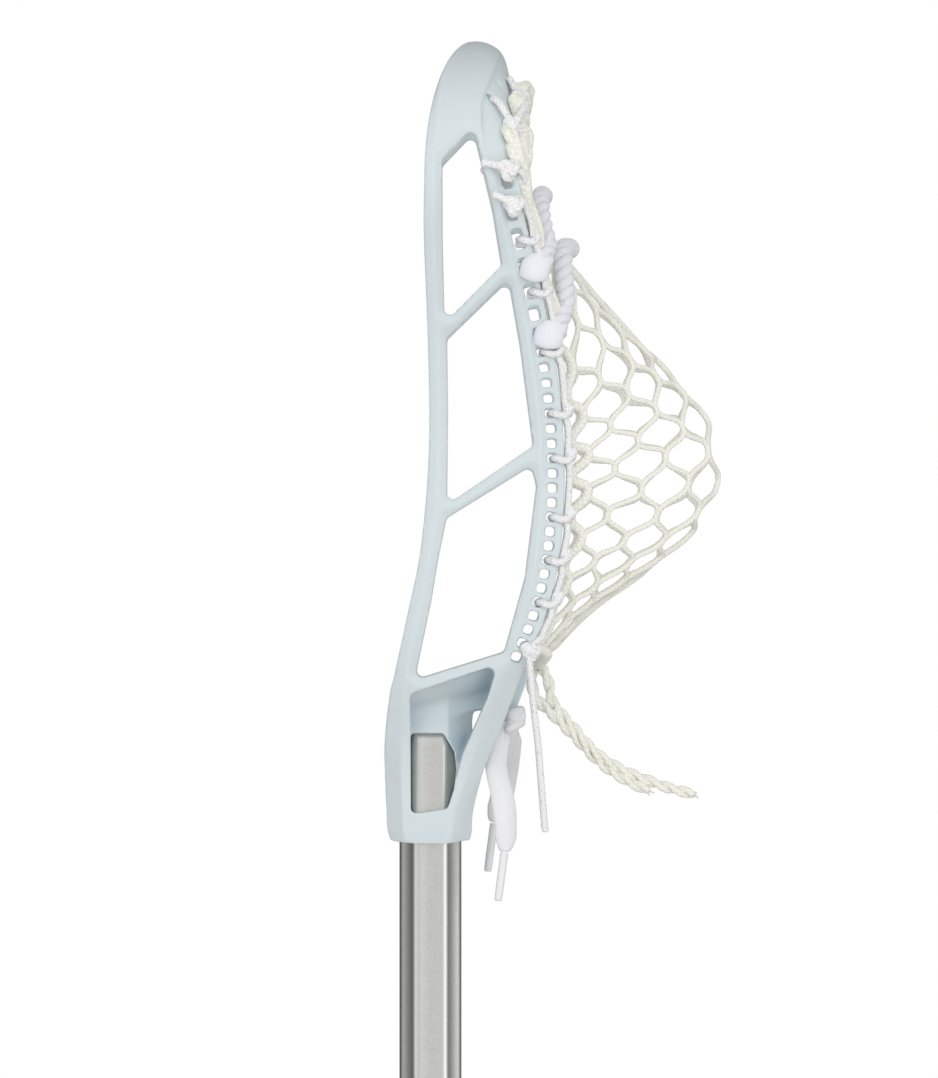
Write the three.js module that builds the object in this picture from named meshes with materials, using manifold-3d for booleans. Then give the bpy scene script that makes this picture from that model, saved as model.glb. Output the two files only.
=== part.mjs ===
// A men's lacrosse stick: an octagonal aluminium shaft with a rubber butt cap, a moulded head on a screwed
// socket, and a strung mesh pocket. Millimetres. The origin is the centre of the butt cap's flat end, +Z runs
// up the shaft to the scoop, +X is the back of the head, where the pocket hangs, and Y is the head's width.
import * as THREE from "three";
import { mergeVertices } from "three/addons/utils/BufferGeometryUtils.js";
import Module from "manifold-3d";

const wasm = await Module();
wasm.setup();

// Driving dimensions
const SHAFT_LENGTH = 762;
const SHAFT_FLATS = 25.4;
const SHAFT_CORNER = 6.6;
const SHAFT_WALL = 1.6;
const CAP_FLOOR = 4;
const CAP_WALL = 2;
const CAP_LENGTH = 38;
const SOCKET_DEPTH = 47;
const SOCKET_HALF = 17.2;
const HEAD_LENGTH = 328.5;
const FIT_GAP = 0.3;
const SCREW_HEIGHT = 9;

const SHAFT_TOP = CAP_FLOOR + SHAFT_LENGTH;
const MOUTH_HEIGHT = SHAFT_TOP - SOCKET_DEPTH;

// ---------------------------------------------------------------- solids and curves

function toSolid(geometry) {
  const bare = geometry.index ? geometry.toNonIndexed() : geometry.clone();
  for (const name of Object.keys(bare.attributes)) {
    if (name !== "position") bare.deleteAttribute(name);
  }
  const merged = mergeVertices(bare, 1e-4);
  const vertProperties = merged.attributes.position.array;
  const triVerts = new Uint32Array(merged.index.array);
  return new wasm.Manifold(new wasm.Mesh({ numProp: 3, vertProperties, triVerts }));
}

function toGeometry(solid) {
  const mesh = solid.getMesh();
  const geometry = new THREE.BufferGeometry();
  geometry.setAttribute("position", new THREE.BufferAttribute(mesh.vertProperties, 3));
  geometry.setIndex(new THREE.BufferAttribute(mesh.triVerts, 1));
  return geometry;
}

function signedVolume(triangles) {
  return triangles.reduce((sum, [a, b, c]) => sum + a.dot(new THREE.Vector3().crossVectors(b, c)) / 6, 0);
}

// The quads between neighbouring rings, each ring with the same number of points.
function sideTriangles(rings) {
  const count = rings[0].length;
  return rings.slice(1).flatMap((ring, r) => ring.flatMap((c, j) => {
    const i = (j + count - 1) % count;
    const [a, b, d] = [rings[r][i], rings[r][j], ring[i]];
    return [[a, b, c], [a, c, d]];
  }));
}

function closedGeometry(triangles) {
  const outward = signedVolume(triangles) > 0 ? triangles : triangles.map(([a, b, c]) => [a, c, b]);
  return new THREE.BufferGeometry().setFromPoints(outward.flat());
}

// A closed solid through rings of points, with a flat cap at each end.
function loft(rings) {
  const cap = (ring, first) => THREE.ShapeUtils.triangulateShape(flatten(ring), []).map(([a, b, c]) => (
    first ? [ring[c], ring[b], ring[a]] : [ring[a], ring[b], ring[c]]
  ));
  const last = rings[rings.length - 1];
  return closedGeometry([...sideTriangles(rings), ...cap(rings[0], true), ...cap(last, false)]);
}

// A ring's points in its own plane, turned the way that puts its normal towards the viewer.
function flatten(ring) {
  const centre = ring.reduce((sum, p) => sum.add(p), new THREE.Vector3()).divideScalar(ring.length);
  const normal = new THREE.Vector3();
  ring.forEach((p, i) => {
    const q = ring[(i + 1) % ring.length];
    normal.add(new THREE.Vector3().crossVectors(p.clone().sub(centre), q.clone().sub(centre)));
  });
  const across = ring[0].clone().sub(centre).normalize();
  const up = new THREE.Vector3().crossVectors(normal.normalize(), across);
  return ring.map((p) => {
    const offset = p.clone().sub(centre);
    return new THREE.Vector2(offset.dot(across), offset.dot(up));
  });
}

// A smooth function through [input, output] points: cubic pieces whose slopes follow the neighbours.
function smooth(points) {
  const slope = (i) => {
    const a = points[Math.max(i - 1, 0)];
    const b = points[Math.min(i + 1, points.length - 1)];
    return (b[1] - a[1]) / (b[0] - a[0]);
  };
  return (input) => {
    const t = THREE.MathUtils.clamp(input, points[0][0], points[points.length - 1][0]);
    const i = Math.min(points.findLastIndex((p) => p[0] <= t), points.length - 2);
    const span = points[i + 1][0] - points[i][0];
    const u = (t - points[i][0]) / span;
    const bend = u * (1 - u) * span;
    const step = u * u * (3 - 2 * u);
    const blend = points[i][1] * (1 - step) + points[i + 1][1] * step;
    return blend + bend * (slope(i) * (1 - u) - slope(i + 1) * u);
  };
}

// A polygon in the side view, as [x, height] points, with its corners rounded off.
function roundedShape(points, radius) {
  const corners = points.map(([x, h]) => new THREE.Vector2(x, h));
  const shape = new THREE.Shape();
  corners.forEach((corner, i) => {
    const before = corners[(i + corners.length - 1) % corners.length];
    const after = corners[(i + 1) % corners.length];
    const reach = (other) => Math.min(radius, corner.distanceTo(other) * 0.45);
    const enter = corner.clone().lerp(before, reach(before) / corner.distanceTo(before));
    const leave = corner.clone().lerp(after, reach(after) / corner.distanceTo(after));
    if (i) shape.lineTo(enter.x, enter.y);
    else shape.moveTo(enter.x, enter.y);
    shape.quadraticCurveTo(corner.x, corner.y, leave.x, leave.y);
  });
  shape.closePath();
  return shape;
}

// A prism whose outline is drawn in the side view (x, height) and which runs across the head from y0 to y1.
function sidePrism(shape, y0, y1, curveSegments = 2) {
  const prism = new THREE.ExtrudeGeometry(shape, { depth: y1 - y0, bevelEnabled: false, curveSegments });
  return prism.rotateX(Math.PI / 2).translate(0, y1, 0);
}

// A prism whose outline is drawn in the face view (y, height) and which runs from x0 to x1.
function facePrism(shape, x0, x1) {
  const prism = new THREE.ExtrudeGeometry(shape, { depth: x1 - x0, bevelEnabled: false, curveSegments: 6 });
  return prism.rotateX(Math.PI / 2).rotateZ(Math.PI / 2).translate(x0, 0, 0);
}

// A cord of the given radius along points, or a ribbon when width is given.
function cord(points, radius, { steps = 16, sides = 6, width = radius } = {}) {
  const section = new THREE.Shape();
  for (let i = 0; i < sides; i++) {
    const angle = (i / sides) * 2 * Math.PI;
    const [x, y] = [radius * Math.cos(angle), width * Math.sin(angle)];
    if (i) section.lineTo(x, y);
    else section.moveTo(x, y);
  }
  section.closePath();
  const extrudePath = new THREE.CatmullRomCurve3(points);
  return new THREE.ExtrudeGeometry(section, { steps, extrudePath, bevelEnabled: false });
}

function ball(x, y, h, radius) {
  return new THREE.SphereGeometry(radius, 8, 6).translate(x, y, h);
}

function rod(radius, length, sides = 10) {
  return new THREE.CylinderGeometry(radius, radius, length, sides);
}

function join(...geometries) {
  return geometries.map(toSolid).reduce((sum, solid) => sum.add(solid));
}

const v3 = (x, y, z) => new THREE.Vector3(x, y, z);

// ---------------------------------------------------------------- materials

const finish = (color, roughness, metalness = 0) => (
  new THREE.MeshStandardMaterial({ color, roughness, metalness })
);
const NYLON = finish(0xcfdde3, 0.45);
const ALUMINIUM = finish(0xa9a89f, 0.38, 0.9);
const RUBBER = finish(0x1d1d1f, 0.85);
const STEEL = finish(0xb8bbbe, 0.3, 0.95);
const FOAM = finish(0x23262a, 0.95);
const MESH_CORD = finish(0xe6e6da, 0.9);
const WHITE_CORD = finish(0xf1f1f3, 0.85);
const WHITE_LACE = finish(0xf4f4f8, 0.9);
const AGLET = finish(0xf0f0f2, 0.3);

function part(name, solid, material) {
  const geometry = solid.isBufferGeometry ? solid : toGeometry(solid);
  const mesh = new THREE.Mesh(geometry, material);
  mesh.name = name;
  return mesh;
}

// ---------------------------------------------------------------- shaft, cap and screw

// The shaft's octagon, grown or shrunk by offset: flats on X and Y with a cut corner between them.
function octagon(offset, z) {
  const half = SHAFT_FLATS / 2 + offset;
  const cut = half - SHAFT_FLATS / 2 + SHAFT_CORNER - offset * Math.SQRT2 * (Math.SQRT2 - 1);
  const near = half - cut;
  const corner = [[half, -near], [half, near], [near, half], [-near, half]];
  return [...corner, ...corner.map(([x, y]) => [-x, -y])].map(([x, y]) => v3(x, y, z));
}

function shapeOf(ring) {
  return new THREE.Shape(ring.map((p) => new THREE.Vector2(p.x, p.y)));
}

function makeShaft() {
  const section = shapeOf(octagon(0, 0));
  section.holes.push(shapeOf(octagon(-SHAFT_WALL, 0)));
  const tube = new THREE.ExtrudeGeometry(section, { depth: SHAFT_LENGTH, steps: 6, bevelEnabled: false });
  const pilotHeight = SHAFT_LENGTH - SOCKET_DEPTH + SCREW_HEIGHT;
  const pilot = rod(1.9, 8).rotateZ(Math.PI / 2).translate(SHAFT_FLATS / 2, 0, pilotHeight);
  return part("shaft", toSolid(tube).subtract(toSolid(pilot)), ALUMINIUM);
}

function makeButtCap() {
  const outer = loft([
    octagon(CAP_WALL - 1.5, 0),
    octagon(CAP_WALL + FIT_GAP, 2),
    octagon(CAP_WALL + FIT_GAP, CAP_LENGTH - 8),
    octagon(CAP_WALL * 0.4 + FIT_GAP, CAP_LENGTH),
  ]);
  const inner = loft([octagon(FIT_GAP, CAP_FLOOR - FIT_GAP), octagon(FIT_GAP, CAP_LENGTH + 1)]);
  return part("butt_cap", toSolid(outer).subtract(toSolid(inner)), RUBBER);
}

// A pan-head screw along X, its head's seat at the origin and its point towards -X.
function makeScrew() {
  const profile = [[0, -12], [0.7, -11.2], [1.6, -9], [1.6, 0], [3.4, 0], [3.4, 1], [2.4, 1.9], [0, 1.9]];
  const body = new THREE.LatheGeometry(profile.map(([r, y]) => new THREE.Vector2(r, y)), 12);
  const slot = new THREE.BoxGeometry(3.6, 1.6, 0.8).translate(0, 1.9, 0);
  const crossSlot = slot.clone().rotateY(Math.PI / 2);
  const solid = toSolid(body).subtract(join(slot, crossSlot));
  const screw = part("head_screw", solid, STEEL);
  screw.rotation.z = -Math.PI / 2;
  screw.position.set(SOCKET_HALF - 2.2, 0, SCREW_HEIGHT);
  return screw;
}

// ---------------------------------------------------------------- head: outline functions

// Height is measured up from the socket's mouth. The cap of the scoop begins at CAP_BASE.
const CAP_BASE = 272;
const CAP_RISE = HEAD_LENGTH - CAP_BASE;
const CAP_POWER = 2.2;
const APEX_X = 18.5;
const SHELL = 5.6;
const BAND = 3.6;
const BAND_WIDTH = 8;

const faceEdge = smooth([
  [0, -17.2], [35, -18.5], [60, -16.3], [90, -10.1], [120, -4], [160, -0.6], [200, -0.8], [250, -2.6],
  [CAP_BASE, -2.3],
]);
const backEdge = smooth([
  [0, 17.2], [12, 17.3], [30, 22], [46, 28.4], [75, 39.5], [93, 47], [115, 52.4], [148, 54.8], [180, 53.3],
  [205, 49.6], [240, 42.4], [255, 38.6], [CAP_BASE, 36],
]);
const halfWidth = smooth([
  [0, 17.2], [14, 17.4], [30, 19.5], [45, 25], [58, 33], [70, 38.5], [84, 42], [110, 44.5], [150, 46.5],
  [180, 50], [210, 57], [240, 68.5], [258, 76.5], [CAP_BASE, 79.5], [CAP_BASE + 16, 79.5],
]);
const flare = smooth([[0, 0], [70, 0], [150, 3], [CAP_BASE, 7]]);

// Distance of the outer face from the middle plane, a share of the way from the face edge to the back edge.
function outerY(height, share) {
  return halfWidth(height) + flare(height) * (0.5 - share);
}

// How high the scoop reaches above CAP_BASE at an x: level over the lip, then falling in a quarter ellipse.
function capRise(x) {
  const past = THREE.MathUtils.clamp((x - APEX_X) / 15.6, 0, 1);
  return CAP_RISE - 17 * (1 - Math.sqrt(1 - past * past));
}

// The x of the scoop's lip where the cap has risen a share of its full height.
const lipX = (rise) => APEX_X - (APEX_X - faceEdge(CAP_BASE)) * Math.sqrt(1 - rise * rise);

// A point of the head's skin at an angle round the scoop or a height on a sidewall, inset from the surface.
function skinPoint(station, share, inset) {
  const turn = station.angle ?? 0;
  const [rise, reach] = [Math.sin(turn) ** (2 / CAP_POWER), Math.cos(turn) ** (2 / CAP_POWER)];
  const height = station.height ?? CAP_BASE;
  const [x0, x1] = station.angle === undefined
    ? [faceEdge(height), backEdge(height)]
    : [lipX(rise), backEdge(CAP_BASE) - 2 * rise];
  const x = THREE.MathUtils.lerp(x0, x1, share);
  const y = (outerY(height, share) - inset) * reach;
  const top = station.angle === undefined ? height : CAP_BASE + (capRise(x) - inset) * rise;
  return v3(x, station.side * y, top);
}

// One ring of the head's band: the full wall from the lip to the string band, then the thinner string band.
function bandRing(station) {
  const width = station.angle === undefined ? backEdge(station.height) - faceEdge(station.height) : 30;
  const step = 1 - BAND_WIDTH / width;
  const inset = (SHELL - BAND) / 2;
  const outer = [[0, 0], [0.45, 0], [step, 0], [step + 0.02, inset], [1, inset]];
  const inner = [[1, inset + BAND], [0.45, SHELL], [0, SHELL]];
  return [...outer, ...inner].map(([share, depth]) => skinPoint(station, share, depth));
}

function bandStations() {
  const heights = [2, 24, 46, 62, 78, 96, 116, 138, 160, 182, 204, 224, 242, 258];
  const angles = [0, 14, 28, 43, 58, 74].map(THREE.MathUtils.degToRad);
  const near = [
    ...heights.map((height) => ({ height, side: -1 })),
    ...angles.map((angle) => ({ angle, side: -1 })),
  ];
  const far = near.map((station) => ({ ...station, side: 1 })).reverse();
  return [...near, { angle: Math.PI / 2, side: 1 }, ...far];
}

// ---------------------------------------------------------------- head: windows, holes and throat

const WINDOWS = [
  [[17.8, 292], [4.8, 278.5], [4.9, 250], [6, 213], [29.2, 236], [25.5, 259]],
  [[6.8, 138.5], [7.2, 177], [6.8, 206.5], [32, 231], [36.8, 203], [42, 162.5]],
  [
    [6.6, 133], [3.4, 117.5], [0.3, 99], [-6.4, 66.8], [30.2, 78.2], [38.7, 108.6], [43.4, 146],
    [41.4, 154.5],
  ],
];
const RECESS = [[-8.3, 61.4], [-7.6, 13.5], [6.9, 14.2], [13.2, 36.4], [23.2, 59.6], [27.8, 74]];
// String holes as [height, tall]: the small ones draw apart slowly towards the scoop, and the large ones keep
// a bar of about 2.9 between them.
const SMALL_HOLES = Array.from({ length: 22 }, (_, i) => [76.4 + 5.5 * i + 0.0203 * i * i, 4]);
const LARGE_HOLES = [
  [207.8, 5.9], [216.3, 6], [225.3, 6.2], [235, 7.8], [246.4, 8.8], [258, 8.2], [270.9, 8.2],
];
const SMALL_HOLE_WIDE = 4.1;
const LARGE_HOLE_WIDE = 4.5;
const HOLE_INSET = 5;
const CORE_TOP = 64;

// The string holes of both sidewalls: each prism runs right across the head, along the slope of the rail.
function stringHoles(rows, wide) {
  return rows.map(([height, tall]) => {
    const slope = (backEdge(height + 2) - backEdge(height - 2)) / 4;
    const hole = new THREE.BoxGeometry(wide, 2 * 100, tall);
    return hole.rotateY(Math.atan(slope)).translate(backEdge(height) - HOLE_INSET, 0, height);
  });
}

// The scoop's string slots: narrow, cut square to its skin, leaning down towards the back on both sides. They
// stand at even angles round the scoop, nearer its back edge towards the top.
const SLOT_ANGLES = [34, 46, 58, 70, 82, 98, 110, 122, 134, 146];
const SLOT_LEAN = THREE.MathUtils.degToRad(55);
const slotX = smooth([[34, 24.7], [46, 28.6], [58, 30.4], [90, 30.4]]);

function scoopSlots() {
  return SLOT_ANGLES.map((degrees) => {
    const turn = THREE.MathUtils.degToRad(degrees);
    const side = Math.sign(Math.cos(turn));
    const x = slotX(Math.min(degrees, 180 - degrees));
    const slot = new THREE.BoxGeometry(5.8, 1.9, 18).rotateZ(side * SLOT_LEAN).rotateX(turn - Math.PI / 2);
    const reach = side * Math.abs(Math.cos(turn)) ** (2 / CAP_POWER);
    const rise = Math.sin(turn) ** (2 / CAP_POWER);
    return slot.translate(x, outerY(CAP_BASE, 0.85) * reach, CAP_BASE + capRise(x) * rise);
  });
}

// The ball stop is a trough across the throat: its surface dips to the middle and climbs towards the back.
const STOP_TILT = THREE.MathUtils.degToRad(16);
const STOP_DIP = 57;
const STOP_RISE = 15;

function stopShape(lower, upper) {
  const shape = new THREE.Shape();
  const spread = Array.from({ length: 9 }, (_, i) => -44 + 11 * i);
  const curve = (y, lift) => STOP_DIP + STOP_RISE * (y / 38) ** 2 + lift;
  spread.forEach((y, i) => (i ? shape.lineTo(y, curve(y, lower)) : shape.moveTo(y, curve(y, lower))));
  if (upper === undefined) shape.lineTo(44, 130).lineTo(-44, 130);
  else [...spread].reverse().forEach((y) => shape.lineTo(y, curve(y, upper)));
  shape.closePath();
  return shape;
}

function stopPrism(lower, upper, x0, x1) {
  return facePrism(stopShape(lower, upper), x0, x1).rotateY(-STOP_TILT).translate(0, 0, -1.5);
}

// The throat before it is hollowed: octagonal rings from the chamfered mouth up to the ball stop.
function throatBlock() {
  const ring = (height, shrink) => {
    const [x0, x1, y] = [faceEdge(height) + shrink, backEdge(height) - shrink, halfWidth(height) - shrink];
    const cut = 7 - shrink;
    return [
      [x1, -y + cut], [x1, y - cut], [x1 - cut, y], [x0 + cut, y],
      [x0, y - cut], [x0, -y + cut], [x0 + cut, -y], [x1 - cut, -y],
    ].map(([px, py]) => v3(px, py, height));
  };
  return loft([ring(0, 3.6), ring(5.5, 0), ...[24, 46, 62, 78].map((height) => ring(height, 0))]);
}

// The space between the two sidewalls, which the ball passes through: it tapers with the head's width.
function innerSpace() {
  const ring = (height, x0, x1) => {
    const y = halfWidth(height) - SHELL;
    return [[x1, -y], [x1, y], [x0, y], [x0, -y]].map(([px, py]) => v3(px, py, height));
  };
  return loft([46, 62, 84].map((height) => ring(height, -40, 70)));
}

function makeHead() {
  const band = toSolid(loft(bandStations().map(bandRing)));
  const core = toSolid(loft([0, CORE_TOP].map((height) => octagon(SOCKET_HALF - SHAFT_FLATS / 2, height))));
  const stop = toSolid(stopPrism(-4, 0, -40, 60)).intersect(toSolid(throatBlock()));
  const recess = toSolid(sidePrism(roundedShape(RECESS, 3), -60, 60));
  const ballSpace = toSolid(innerSpace()).intersect(toSolid(stopPrism(-0.5, undefined, -60, 90)));
  const backGap = toSolid(facePrism(roundedShape([[-26, 56], [-9, 22], [9, 22], [26, 56]], 4), 17.5, 60));
  const hollow = recess.subtract(stop).subtract(core);
  const throat = toSolid(throatBlock()).subtract(hollow).subtract(ballSpace).subtract(backGap);
  const shaftWindow = roundedShape([[-7.8, 45], [-7.8, 13], [6.8, 14], [10.2, 28], [9.9, 37], [5.6, 45]], 2);
  const smallHoles = stringHoles(SMALL_HOLES, SMALL_HOLE_WIDE);
  const largeHoles = stringHoles(LARGE_HOLES, LARGE_HOLE_WIDE);
  const cuts = [
    ...WINDOWS.map((points) => sidePrism(roundedShape(points, 4.5), -110, 110)),
    sidePrism(shaftWindow, -60, 60),
    loft([-1, SOCKET_DEPTH + FIT_GAP].map((height) => octagon(FIT_GAP, height))),
    rod(2.1, 12).rotateZ(Math.PI / 2).translate(SOCKET_HALF - 2, 0, SCREW_HEIGHT),
    rod(3.9, 10, 12).rotateZ(Math.PI / 2).translate(SOCKET_HALF + 2.5, 0, SCREW_HEIGHT),
    ...smallHoles,
    ...largeHoles,
    ...scoopSlots(),
  ].map(toSolid);
  const sides = band.subtract(recess);
  const solid = cuts.reduce((head, cut) => head.subtract(cut), sides.add(throat).add(stop));
  return part("head_frame", solid, NYLON);
}

// ---------------------------------------------------------------- ball stop pad and mesh

function makeBallStopPad() {
  const slab = toSolid(stopPrism(FIT_GAP, 4.2, 14, 44));
  const room = toSolid(new THREE.BoxGeometry(80, 44, 80).translate(10, 0, 80));
  return part("ball_stop_pad", slab.intersect(room), FOAM);
}

const MESH_THICKNESS = 2.8;
const MESH_BOTTOM = 80.5;
const MESH_POWER = 2.2;
const SCOOP_MARGIN = 5;

// The mesh's outline in the side view: its outer skin on the middle plane, and its laced edge.
const pocketDepth = smooth([
  [79, 51], [94, 65.5], [109, 86], [124, 105], [138, 115.4], [155.5, 119.2], [172, 115], [190, 101],
  [212, 80], [230, 64], [250, 47.2], [263, 42.2], [280, 39], [310, 34.5],
]);
const edgeLift = smooth([[60, 4], [236, 4], [264, -4], [CAP_BASE, -4]]);
const laceEdge = (height) => backEdge(height) + edgeLift(height);

const meshHalf = (height) => outerY(Math.min(height, CAP_BASE), 1) - SHELL - 2;

// A point of the mesh at a height and a share of the half-width, lifted off its outer skin to the back.
function meshPoint(height, share, lift) {
  const sag = 1 - Math.abs(share) ** MESH_POWER;
  const x = THREE.MathUtils.lerp(laceEdge(height), Math.max(pocketDepth(height), laceEdge(height)), sag);
  return v3(x + lift, share * meshHalf(height), height);
}

function meshTop(share) {
  const rise = CAP_RISE - 17 - SHELL - SCOOP_MARGIN;
  return CAP_BASE - 6 + (rise + 6) * (1 - Math.abs(share) ** CAP_POWER) ** (1 / CAP_POWER);
}

function makeMeshPocket() {
  const rows = 20;
  const columns = 14;
  const ring = (row) => {
    const at = (column, lift) => {
      const share = -0.985 + (1.97 * column) / columns;
      return meshPoint(THREE.MathUtils.lerp(meshTop(share), MESH_BOTTOM, row / rows), share, lift);
    };
    const across = Array.from({ length: columns + 1 }, (_, column) => column);
    return [...across.map((c) => at(c, 0)), ...across.reverse().map((c) => at(c, -MESH_THICKNESS))];
  };
  return part("mesh_pocket", sheet(Array.from({ length: rows + 1 }, (_, row) => ring(row))), MESH_CORD);
}

// A curved sheet: each ring goes across its outer skin and back along its inner one, so the ends are strips.
function sheet(rings) {
  const half = rings[0].length / 2;
  const strip = (ring, first) => Array.from({ length: half - 1 }, (_, i) => {
    const [a, b] = first ? [ring[i + 1], ring[i]] : [ring[i], ring[i + 1]];
    const [c, d] = [ring[2 * half - 2 - i], ring[2 * half - 1 - i]];
    return first ? [[a, b, d], [a, d, c]] : [[a, b, c], [a, c, d]];
  }).flat();
  const last = rings[rings.length - 1];
  return closedGeometry([...sideTriangles(rings), ...strip(rings[0], true), ...strip(last, false)]);
}

// ---------------------------------------------------------------- strings

const CORD_RADIUS = 1.25;
const LACE_RADIUS = 3.7;
const SLOPE_LIFT = 1.5;

const TAIL_KNOT_X = 40;
const TAIL_KNOT_HEIGHT = 79.5;
const tailKnot = (side) => v3(TAIL_KNOT_X, side * (outerY(TAIL_KNOT_HEIGHT, 1) + 1.8), TAIL_KNOT_HEIGHT);

// The cord that laces one edge of the mesh to its sidewall, from its top knot down to its tail's knot.
function makeSidewallString(name, side) {
  const line = (height) => v3(backEdge(height) + 1.9, side * (outerY(height, 1) - SHELL / 2), height);
  const run = [86, 100, 118, 140, 165, 190, 215, 238, 252].map(line);
  const topKnot = v3(34.6, side * (outerY(260, 0.8) + 2.6), 261);
  const topEnd = v3(24.4, side * (outerY(264, 0.6) + 3.2), 265);
  const lowKnot = tailKnot(side);
  const overTop = [line(251), v3(41.8, side * (outerY(256, 1) + 1.4), 256), topKnot];
  const overLow = [line(87), v3(44.6, side * (outerY(84, 1) + 1.6), 82.5), lowKnot];
  const solid = join(
    cord(run, CORD_RADIUS, { steps: 22 }),
    cord(overTop, CORD_RADIUS, { steps: 4 }),
    cord(overLow, CORD_RADIUS, { steps: 4 }),
    cord([topKnot, topEnd], CORD_RADIUS, { steps: 1 }),
    ball(topKnot.x, topKnot.y, topKnot.z, 2.5),
    ball(lowKnot.x, lowKnot.y, lowKnot.z, 2.2),
  );
  return part(name, solid, WHITE_CORD);
}

// The cord that ties the mesh to the scoop, knotted outside both sidewalls.
function makeTopString() {
  const arch = Array.from({ length: 13 }, (_, i) => {
    const turn = (i / 12) * Math.PI;
    const reach = Math.sign(Math.cos(turn)) * Math.abs(Math.cos(turn)) ** (2 / CAP_POWER);
    const rise = Math.sin(turn) ** (2 / CAP_POWER);
    return v3(37.9, -(outerY(CAP_BASE, 1) - SHELL / 2) * reach, CAP_BASE + (CAP_RISE - 19) * rise);
  });
  const tie = (side) => {
    const start = v3(37.9, side * (outerY(CAP_BASE, 1) - SHELL / 2), CAP_BASE);
    const bend = v3(36.6, side * (outerY(CAP_BASE, 1) + 2.2), CAP_BASE + 1.5);
    const knot = v3(32.5, side * (outerY(CAP_BASE, 0.8) + 2.6), CAP_BASE + 3);
    const end = v3(20.3, side * (outerY(CAP_BASE, 0.6) + 3.2), CAP_BASE + 5.6);
    return [
      cord([start, bend, knot], CORD_RADIUS, { steps: 5 }),
      cord([knot, end], CORD_RADIUS, { steps: 1 }),
      ball(knot.x, knot.y, knot.z, 2.6),
    ];
  };
  return part("top_string", join(cord(arch, CORD_RADIUS, { steps: 20 }), ...tie(-1), ...tie(1)), WHITE_CORD);
}

// A thick lace across the back of the mesh: it leaves each sidewall low and arches up to the middle.
function makeShootingString(name, low, high, radius) {
  const path = Array.from({ length: 9 }, (_, i) => {
    const share = -0.96 + 0.24 * i;
    const height = high + (low - high) * Math.abs(share) ** 2.6;
    return meshPoint(height, share, radius * SLOPE_LIFT + 0.8);
  });
  return part(name, cord(path, radius, { steps: 18, sides: 8 }), WHITE_LACE);
}

// The lace that gathers the bottom of the mesh, from one rear corner of the throat round to the other.
const LACE_KNOT = v3(34.5, 15, 51);

function makeBottomLace() {
  const rise = [v3(0, 0, 0), v3(2.9, -0.5, 9), v3(6.7, -2.5, 19), v3(11, -8, 24), v3(12.2, -15, 25.5)];
  const half = rise.map((p) => p.add(LACE_KNOT));
  const other = half.slice(0, -1).map((p) => v3(p.x, -p.y, p.z)).reverse();
  const solid = join(
    cord([...half, ...other], 1.6, { steps: 18 }),
    ball(LACE_KNOT.x, LACE_KNOT.y, LACE_KNOT.z, 3),
    ball(LACE_KNOT.x, -LACE_KNOT.y, LACE_KNOT.z, 3),
  );
  return part("bottom_lace", solid, WHITE_LACE);
}

// The hanging ends of the bottom lace. Each is flat, wide along X, and narrows into its aglet.
const LACE_WIDTH = 10.5;
const LACE_THICKNESS = 1.6;
const LACE_ENDS = {
  left: [[-0.6, -4.4], [-3.2, -14], [-5, -26], [-5, -36], [-4.4, -46], [-4.2, -54.5]],
  right: [[0.2, -4.4], [-0.6, -14], [-2.8, -25], [-5.8, -34], [-7.6, -39.5], [-8.4, -43]],
};
const AGLET_LENGTH = 20;
const AGLET_RADIUS = 1.65;

function makeLaceTail(side, ends) {
  const path = new THREE.CatmullRomCurve3(ends.map(([x, z]) => v3(x, 0, z)));
  const rings = path.getPoints(9).map((p, i, all) => {
    const narrow = Math.min(1, 0.32 + (all.length - 1 - i) * 0.28, 0.5 + i * 0.3);
    const [w, t] = [(LACE_WIDTH / 2) * narrow, LACE_THICKNESS / 2];
    return [[w, -t], [w, t], [-w, t], [-w, -t]].map(([x, y]) => v3(p.x + x, side + y, p.z));
  });
  return loft(rings);
}

function makeAglet(side, ends) {
  const [x, z] = ends[ends.length - 1];
  const lean = THREE.MathUtils.degToRad(7.5);
  const sleeve = rod(AGLET_RADIUS, AGLET_LENGTH).rotateX(Math.PI / 2);
  return sleeve.translate(0, 0, -AGLET_LENGTH / 2 - 0.4).rotateY(lean).translate(x, side, z);
}

// The gathered end of the mesh that hangs out below the pocket and curls away from the head.
const MESH_TAIL_KNOT = v3(44, 0, 72.5);
const MESH_TAIL_CURL = [
  [0, -1.2], [2.4, -12.6], [6, -17.8], [14.7, -27.4], [24.6, -37.3], [36, -44.8], [49, -50.4], [63.6, -54],
];

// A piece that swings hangs from its knot, which is the origin of its own points.
function hung(name, solid, knot, material) {
  const mesh = part(name, solid, material);
  mesh.position.copy(knot);
  return mesh;
}

function makeMeshTail() {
  const path = MESH_TAIL_CURL.map(([x, z]) => v3(x, 0, z));
  return hung("mesh_tail", cord(path, LACE_RADIUS, { steps: 16, sides: 8 }), MESH_TAIL_KNOT, MESH_CORD);
}

const SIDEWALL_TAIL = [[0.3, -2.9], [2.4, -24.6], [4.1, -39], [5.3, -54], [6.5, -69], [7, -74.6]];

function makeSidewallTail(name, side) {
  const path = SIDEWALL_TAIL.map(([x, z]) => v3(x, 0, z));
  return hung(name, cord(path, CORD_RADIUS, { steps: 8 }), tailKnot(side), WHITE_CORD);
}

function makeSideStrings() {
  return Object.entries({ left: -1, right: 1 }).flatMap(([word, side]) => {
    const knot = v3(LACE_KNOT.x, side * LACE_KNOT.y, LACE_KNOT.z);
    return [
      makeSidewallString(`sidewall_string_${word}`, side),
      makeSidewallTail(`sidewall_string_tail_${word}`, side),
      hung(`lace_tail_${word}`, makeLaceTail(side, LACE_ENDS[word]), knot, WHITE_LACE),
      hung(`aglet_${word}`, makeAglet(side, LACE_ENDS[word]), knot, AGLET),
    ];
  });
}

// ---------------------------------------------------------------- the stick

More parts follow.
